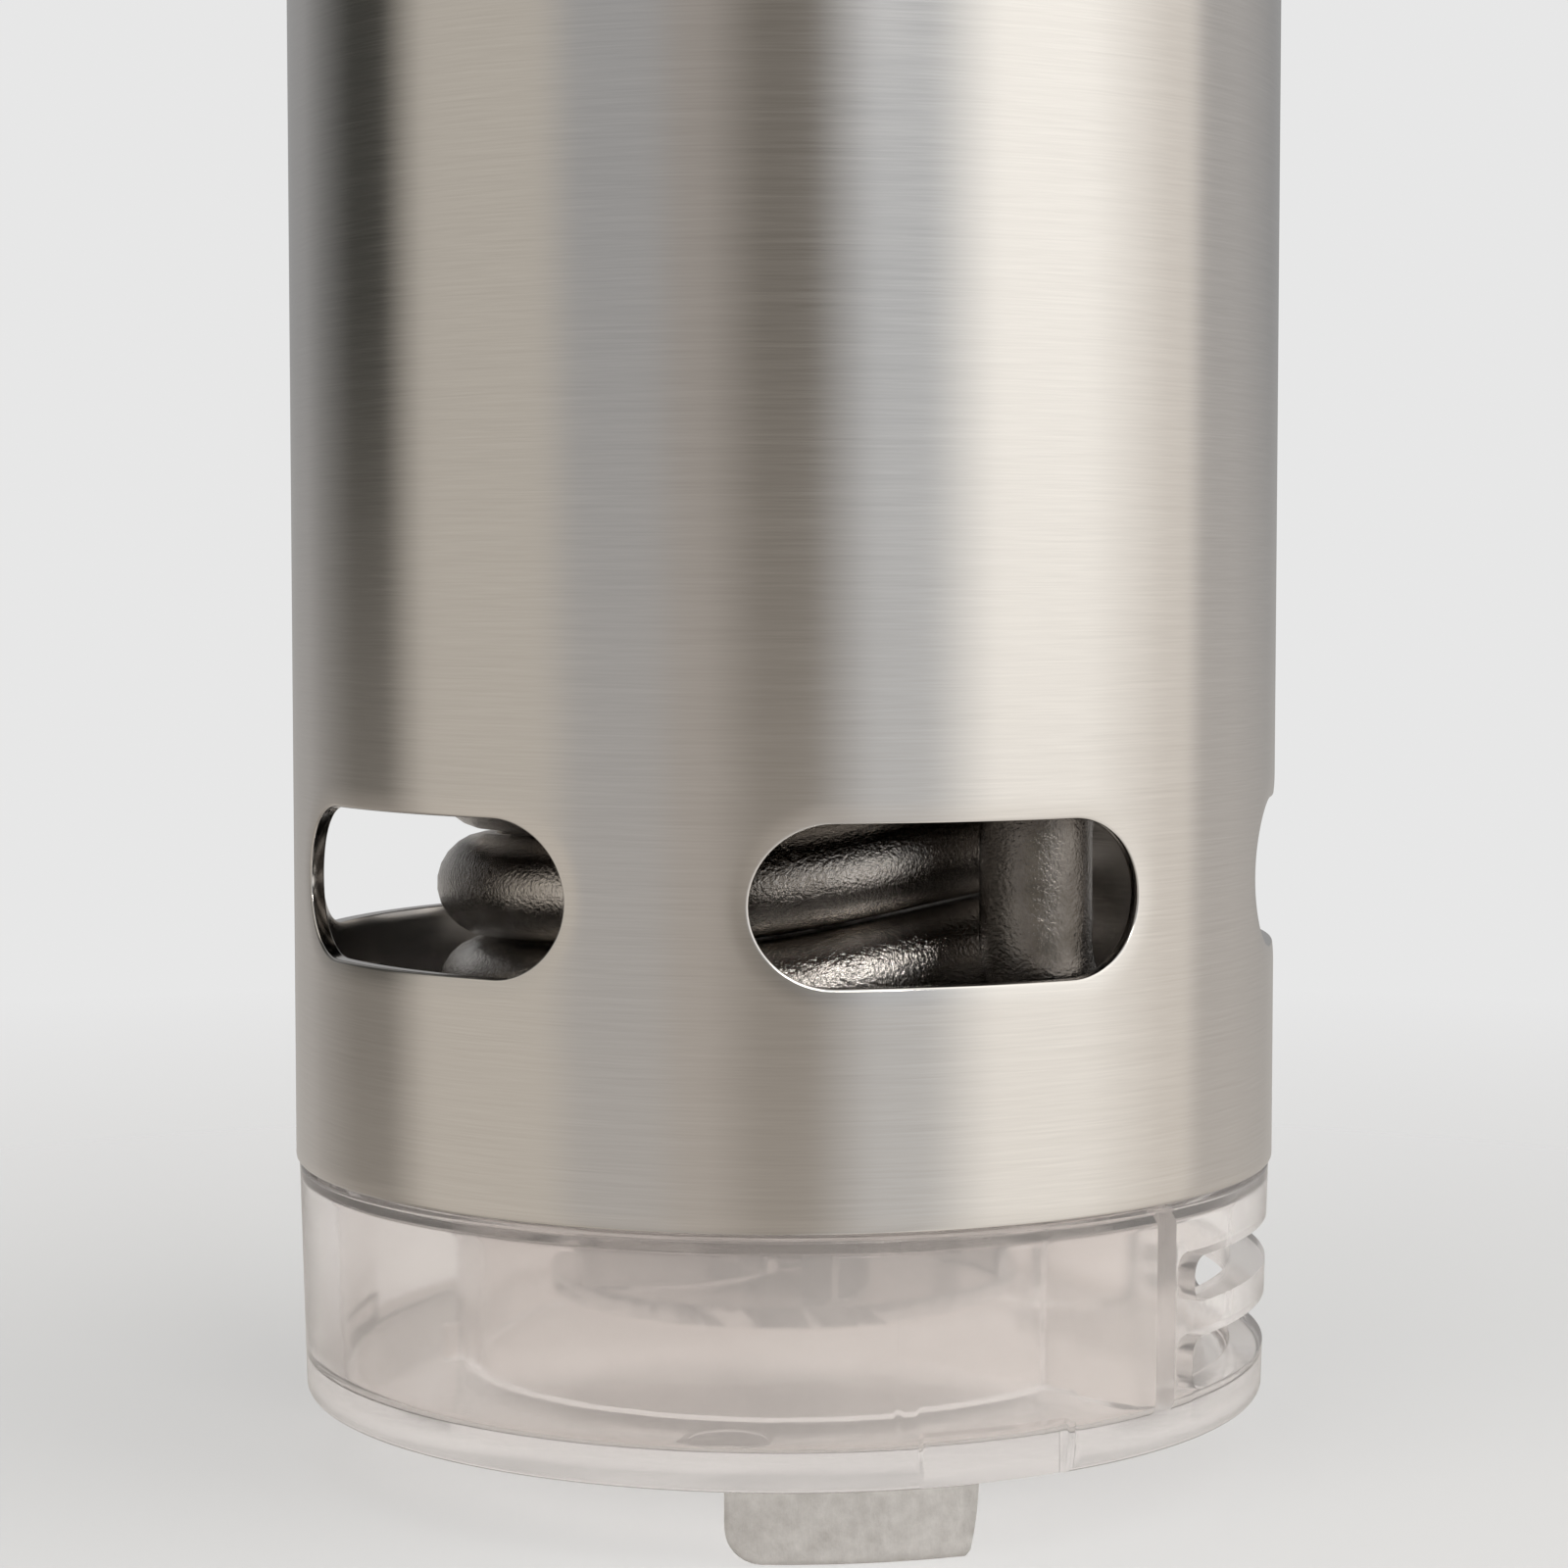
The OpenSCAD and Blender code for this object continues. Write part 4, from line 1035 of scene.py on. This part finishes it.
def flutes(angle):
    """A fine-gripped round: 24 shallow flutes."""
    return 8.0 - 0.45 * (0.5 + 0.5 * math.cos(math.radians(angle * 24))) ** 2


def build_lock():
    rings = [(0.5, 0.4), (0.5, 4.6), (0.0, 5.2)]
    rings += edge_rings(flutes, 0.9, 5) + edge_rings(flutes, 0.7, 5, 11)
    rings += [(11.0, 4.2), (11.3, 2.5), (23.6, 2.5), (24.0, 2.1)]
    return turned("lock_screw_fluted", rings, 192)


def soften(obj, width):
    """Round a solid's sharp edges for good."""
    edge = obj.modifiers.new("edge", "BEVEL")
    edge.width = width * MM
    edge.segments = 4
    edge.limit_method = "ANGLE"
    edge.angle_limit = math.radians(35)
    return bake(obj)


def build_bracket():
    """The clamp's ring with its U-shaped jaw, as one moulding."""
    outline = rounded([
        (33.8, 112, 0.6), (37, 112, 1.2), (37, 154, 3.0), (57.5, 154, 3.0), (57.5, 112, 1.6),
        (63, 112, 1.6), (63, 166, 5.0), (33.8, 166, 0.5),
    ], 6)
    jaw = loft("jaw", [[(x, y, z) for y, z in outline] for x in (-9.0, 9.0)])
    soften(jaw, 0.8)
    insert_hole = placed(turned("hole", [(-1, 5.0), (9, 5.0)], 64),
                         Matrix.Translation(Vector((0, 57, SCREW_Z)) * MM) @ ALONG_Y)
    join_solids(jaw, [insert_hole], "DIFFERENCE")
    ring = lathe("clamp_bracket_moulded", rounded([
        (31.68, 150, 0.4), (36, 150, 0.9), (36, 170, 0.9), (31.68, 170, 0.4)]), 180)
    boss = placed(turned("boss", [(0, 5.2), (0.25, 5.75), (0.8, 6.0), (9.5, 6.0)], 64),
                  Matrix.Translation(Vector((-42, 0, RING_Z)) * MM) @ ALONG_X)
    join_solids(ring, [jaw, boss], "UNION")
    bore = placed(turned("bore", [(-1, 2.65), (14, 2.65)], 48),
                  Matrix.Translation(Vector((-43, 0, RING_Z)) * MM) @ ALONG_X)
    middle = turned("middle", [(149, 31.68), (171, 31.68)], 180)
    return join_solids(ring, [bore, middle], "DIFFERENCE")


bracket = shade_by_angle(build_bracket(), 35)
finish_piece(bracket, "clamp_bracket", MATERIALS["clamp_plastic"],
             ["clamp_bracket"])

for piece, matrix, shift, body, node_name in (
        (build_screw(), ALONG_Y, (0, PAD_Y + 2, SCREW_Z), "clamp_screw", "clamp_screw"),
        (build_knob(), ALONG_Y, (0, KNOB_Y, SCREW_Z), "clamp_screw", "clamp_knob"),
        (build_lock(), ALONG_X, (-RING_R - LOCK_REACH, 0, RING_Z), "lock_screw", "lock_screw")):
    placed(piece, Matrix.Translation(Vector(shift) * MM) @ matrix)
    shade_by_angle(piece, 40)
    finish_piece(piece, body, MATERIALS[SLOT_OF[node_name]], [node_name])


# ---- Cord inlet ----

GLAND_Y, GLAND_Z = 33.8, 296.0
gland = lathe("cord_gland_ribbed", rounded([
    (3.75, 0, 0.2), (6.5, 0, 0.4), (6.5, 3, 0.3), (4.95, 3, 0.1), (4.95, 6.2, 0.1), (6.5, 6.2, 0.3),
    (6.5, 8.0, 0.3), (5.7, 8.0, 0.15), (5.7, 8.9, 0.15), (6.3, 8.9, 0.25), (6.3, 10.1, 0.25),
    (5.5, 10.1, 0.15), (5.5, 11.0, 0.15), (6.0, 11.0, 0.25), (6.0, 12.2, 0.4), (3.75, 12.2, 0.4),
]), 96)
placed(gland, Matrix.Translation(Vector((0, GLAND_Y, GLAND_Z)) * MM) @ ALONG_Y)
shade_by_angle(gland, 40)
finish_piece(gland, "circulator", MATERIALS[SLOT_OF["cord_gland"]],
             ["cord_gland"])


# ---- Everything else that the CAD already shapes ----

BEVELS = {
    "impeller": 0.25, "pump_plate": 0.15, "lower_housing": 0.5, "upper_housing": 0.5,
    "control_bezel": 0.6, "scroll_wheel": 0.35, "clamp_sleeve": 0.35,
    "swivel_pad": 0.5, "jaw_pad": 0.5, "thread_insert": 0.25,
    "motor_can": 0.4, "cooling_fan": 0.3, "shaft_coupling": 0.4, "transformer": 0.5,
    "filter_capacitor": 0.6, "relay": 0.4, "display_lens": 0.25, "pump_shaft": 0.3,
}
STEPS = {"control_bezel": 4}
for node_name, obj in frame["nodes"].items():
    if not obj.hide_render:
        dress(node_name, BEVELS.get(node_name, 0.0), STEPS.get(node_name, 3))


# ---- Stage, light and camera ----


def floor_material():
    """A pale bench that fades into the backdrop away from the object."""
    shader = Shader("pale_floor")
    cloud = shader.noise(3, 3.0)
    shader.use(colour=shader.blend(cloud, (0.80, 0.795, 0.79), (0.83, 0.825, 0.82)))
    shader.set(Roughness=0.85)
    shader.mix_clear(shader.ranged(shader.from_middle(), 0.45, 1.0, 30 * MM, 240 * MM))
    return shader.material


def build_floor():
    steps, radii = 64, (0.01, 400, 900, 1400)
    verts = [polar(r, 360 * i / steps, 0) for i in range(steps) for r in radii]
    faces = []
    for i in range(steps):
        for k in range(len(radii) - 1):
            a, b = i * len(radii) + k, ((i + 1) % steps) * len(radii) + k
            faces.append((a, b, b + 1, a + 1))
    floor = make("floor", verts, faces)
    floor.data.materials.append(floor_material())
    floor.visible_glossy = False
    floor.visible_transmission = False
    return floor


build_floor()

# What the steel reflects, as (name, first azimuth, last azimuth, colour). Each stretch is even
# in colour, and the light changes evenly from one to the next. They were set to give the steel
# the bands that were measured in the photo, and the names only say what might stand there.
STUDIO = [
    ("wall behind", -180, -142, (0.32, 0.32, 0.32)),
    ("black flag", -115, -102, (0.05, 0.05, 0.045)),
    ("left soft box", -88, -56, (0.54, 0.51, 0.46)),
    ("left wall", -46, -30, (0.39, 0.395, 0.40)),
    ("warm corner", -22, -17, (0.37, 0.345, 0.32)),
    ("gap at the camera", -5, 6, (0.185, 0.17, 0.15)),
    ("cool wall", 20, 32, (0.56, 0.58, 0.60)),
    ("key soft box", 48, 72, (1.18, 1.16, 1.11)),
    ("key's dim end", 96, 104, (0.80, 0.76, 0.71)),
    ("right wall", 110, 125, (0.46, 0.45, 0.44)),
    ("wall behind", 150, 180, (0.32, 0.32, 0.32)),
]
BACKDROP = (0.80, 0.80, 0.80)
BELOW = (0.88, 0.80, 0.71)  # what the bench throws back up
THROUGH = (0.77, 0.75, 0.73)  # the backdrop as seen through clear plastic
SHADE = (0.45, 0.42, 0.395)  # the bench as seen through clear plastic


def build_world():
    """The studio as reflections see it, the plain backdrop as the camera sees it, and a dimmer
    backdrop for rays that have passed clear plastic."""
    world = bpy.data.worlds.new("studio")
    world.use_nodes = True
    world.node_tree.nodes.clear()
    tree = Tree(world.node_tree)

    def background(colour, strength=None):
        made = tree.node("ShaderNodeBackground")
        if isinstance(colour, tuple):
            made.inputs["Color"].default_value = (*colour, 1)
        else:
            tree.link(colour, made.inputs["Color"])
        if strength:
            tree.link(strength, made.inputs["Strength"])
        return made.outputs["Background"]

    split = tree.node("ShaderNodeSeparateXYZ")
    tree.link(tree.node("ShaderNodeTexCoord").outputs["Generated"], split.inputs[0])
    x, y, z = split.outputs
    azimuth = tree.math("ARCTAN2", x, tree.math("MULTIPLY", y, -1))
    ramp = tree.node("ShaderNodeValToRGB")
    tree.link(tree.ranged(azimuth, 0, 1, -math.pi, math.pi), ramp.inputs["Fac"])
    stops = ramp.color_ramp.elements
    ends = [(az, colour) for _, first, last, colour in STUDIO for az in (first, last)]
    for i, (az, colour) in enumerate(ends):
        at = (az + 180) / 360
        stop = stops[i] if i < 2 else stops.new(at)
        stop.position = at
        stop.color = (*colour, 1)
    around = tree.mix_colour(tree.ranged(z, 0, 0.40, 0.075, -0.22), ramp.outputs["Color"], BELOW)
    studio = background(around, tree.ranged(z, 0.80, 1.30, -0.6, 0.9))
    behind = background(tree.mix_colour(tree.ranged(z, 0, 1, -0.19, -0.27), THROUGH, SHADE))
    path = tree.node("ShaderNodeLightPath")
    inside = tree.math("MINIMUM", path.outputs["Transmission Depth"], 1)
    seen = tree.mix_shader(inside, studio, behind)
    seen = tree.mix_shader(path.outputs["Is Camera Ray"], seen, background(BACKDROP))
    output = tree.node("ShaderNodeOutputWorld")
    tree.link(seen, output.inputs["Surface"])
    bpy.context.scene.world = world


build_world()


def soft_box(name, place, size, watts, colour, glint=False):
    """A lamp aimed at the object's foot, hidden from reflections unless it makes a glint."""
    light = bpy.data.lights.new(name, "AREA")
    light.shape = "RECTANGLE"
    light.size, light.size_y = size
    light.energy = watts
    light.color = colour
    lamp = bpy.data.objects.new(name, light)
    bpy.context.scene.collection.objects.link(lamp)
    lamp.location = place
    lamp.rotation_euler = (Vector((0, 0, 0.05)) - Vector(place)).to_track_quat("-Z", "Y").to_euler()
    lamp.visible_camera = False
    lamp.visible_glossy = glint


soft_box("key", (-0.9, -1.2, 1.5), (1.2, 1.2), 8, (1.0, 0.98, 0.95))
soft_box("fill", (1.3, -0.5, 0.9), (1.0, 1.4), 4, (0.96, 0.98, 1.0))
soft_box("spark", (0.33, -0.86, 0.50), (0.26, 0.12), 1.5, (1.0, 0.97, 0.93), glint=True)

CAMERA_LENS, CAMERA_Y, CAMERA_Z, CAMERA_PITCH = 78.6, -211.11, 53.18, 86.585
camera_data = bpy.data.cameras.new("camera")
camera_data.lens = CAMERA_LENS
camera_data.sensor_width = 36
camera_data.clip_start = 0.01
camera = bpy.data.objects.new("camera", camera_data)
bpy.context.scene.collection.objects.link(camera)
camera.location = Vector((0, CAMERA_Y, CAMERA_Z)) * MM
camera.rotation_euler = (math.radians(CAMERA_PITCH), 0, 0)
bpy.context.scene.camera = camera
bpy.context.scene.view_settings.view_transform = "Standard"
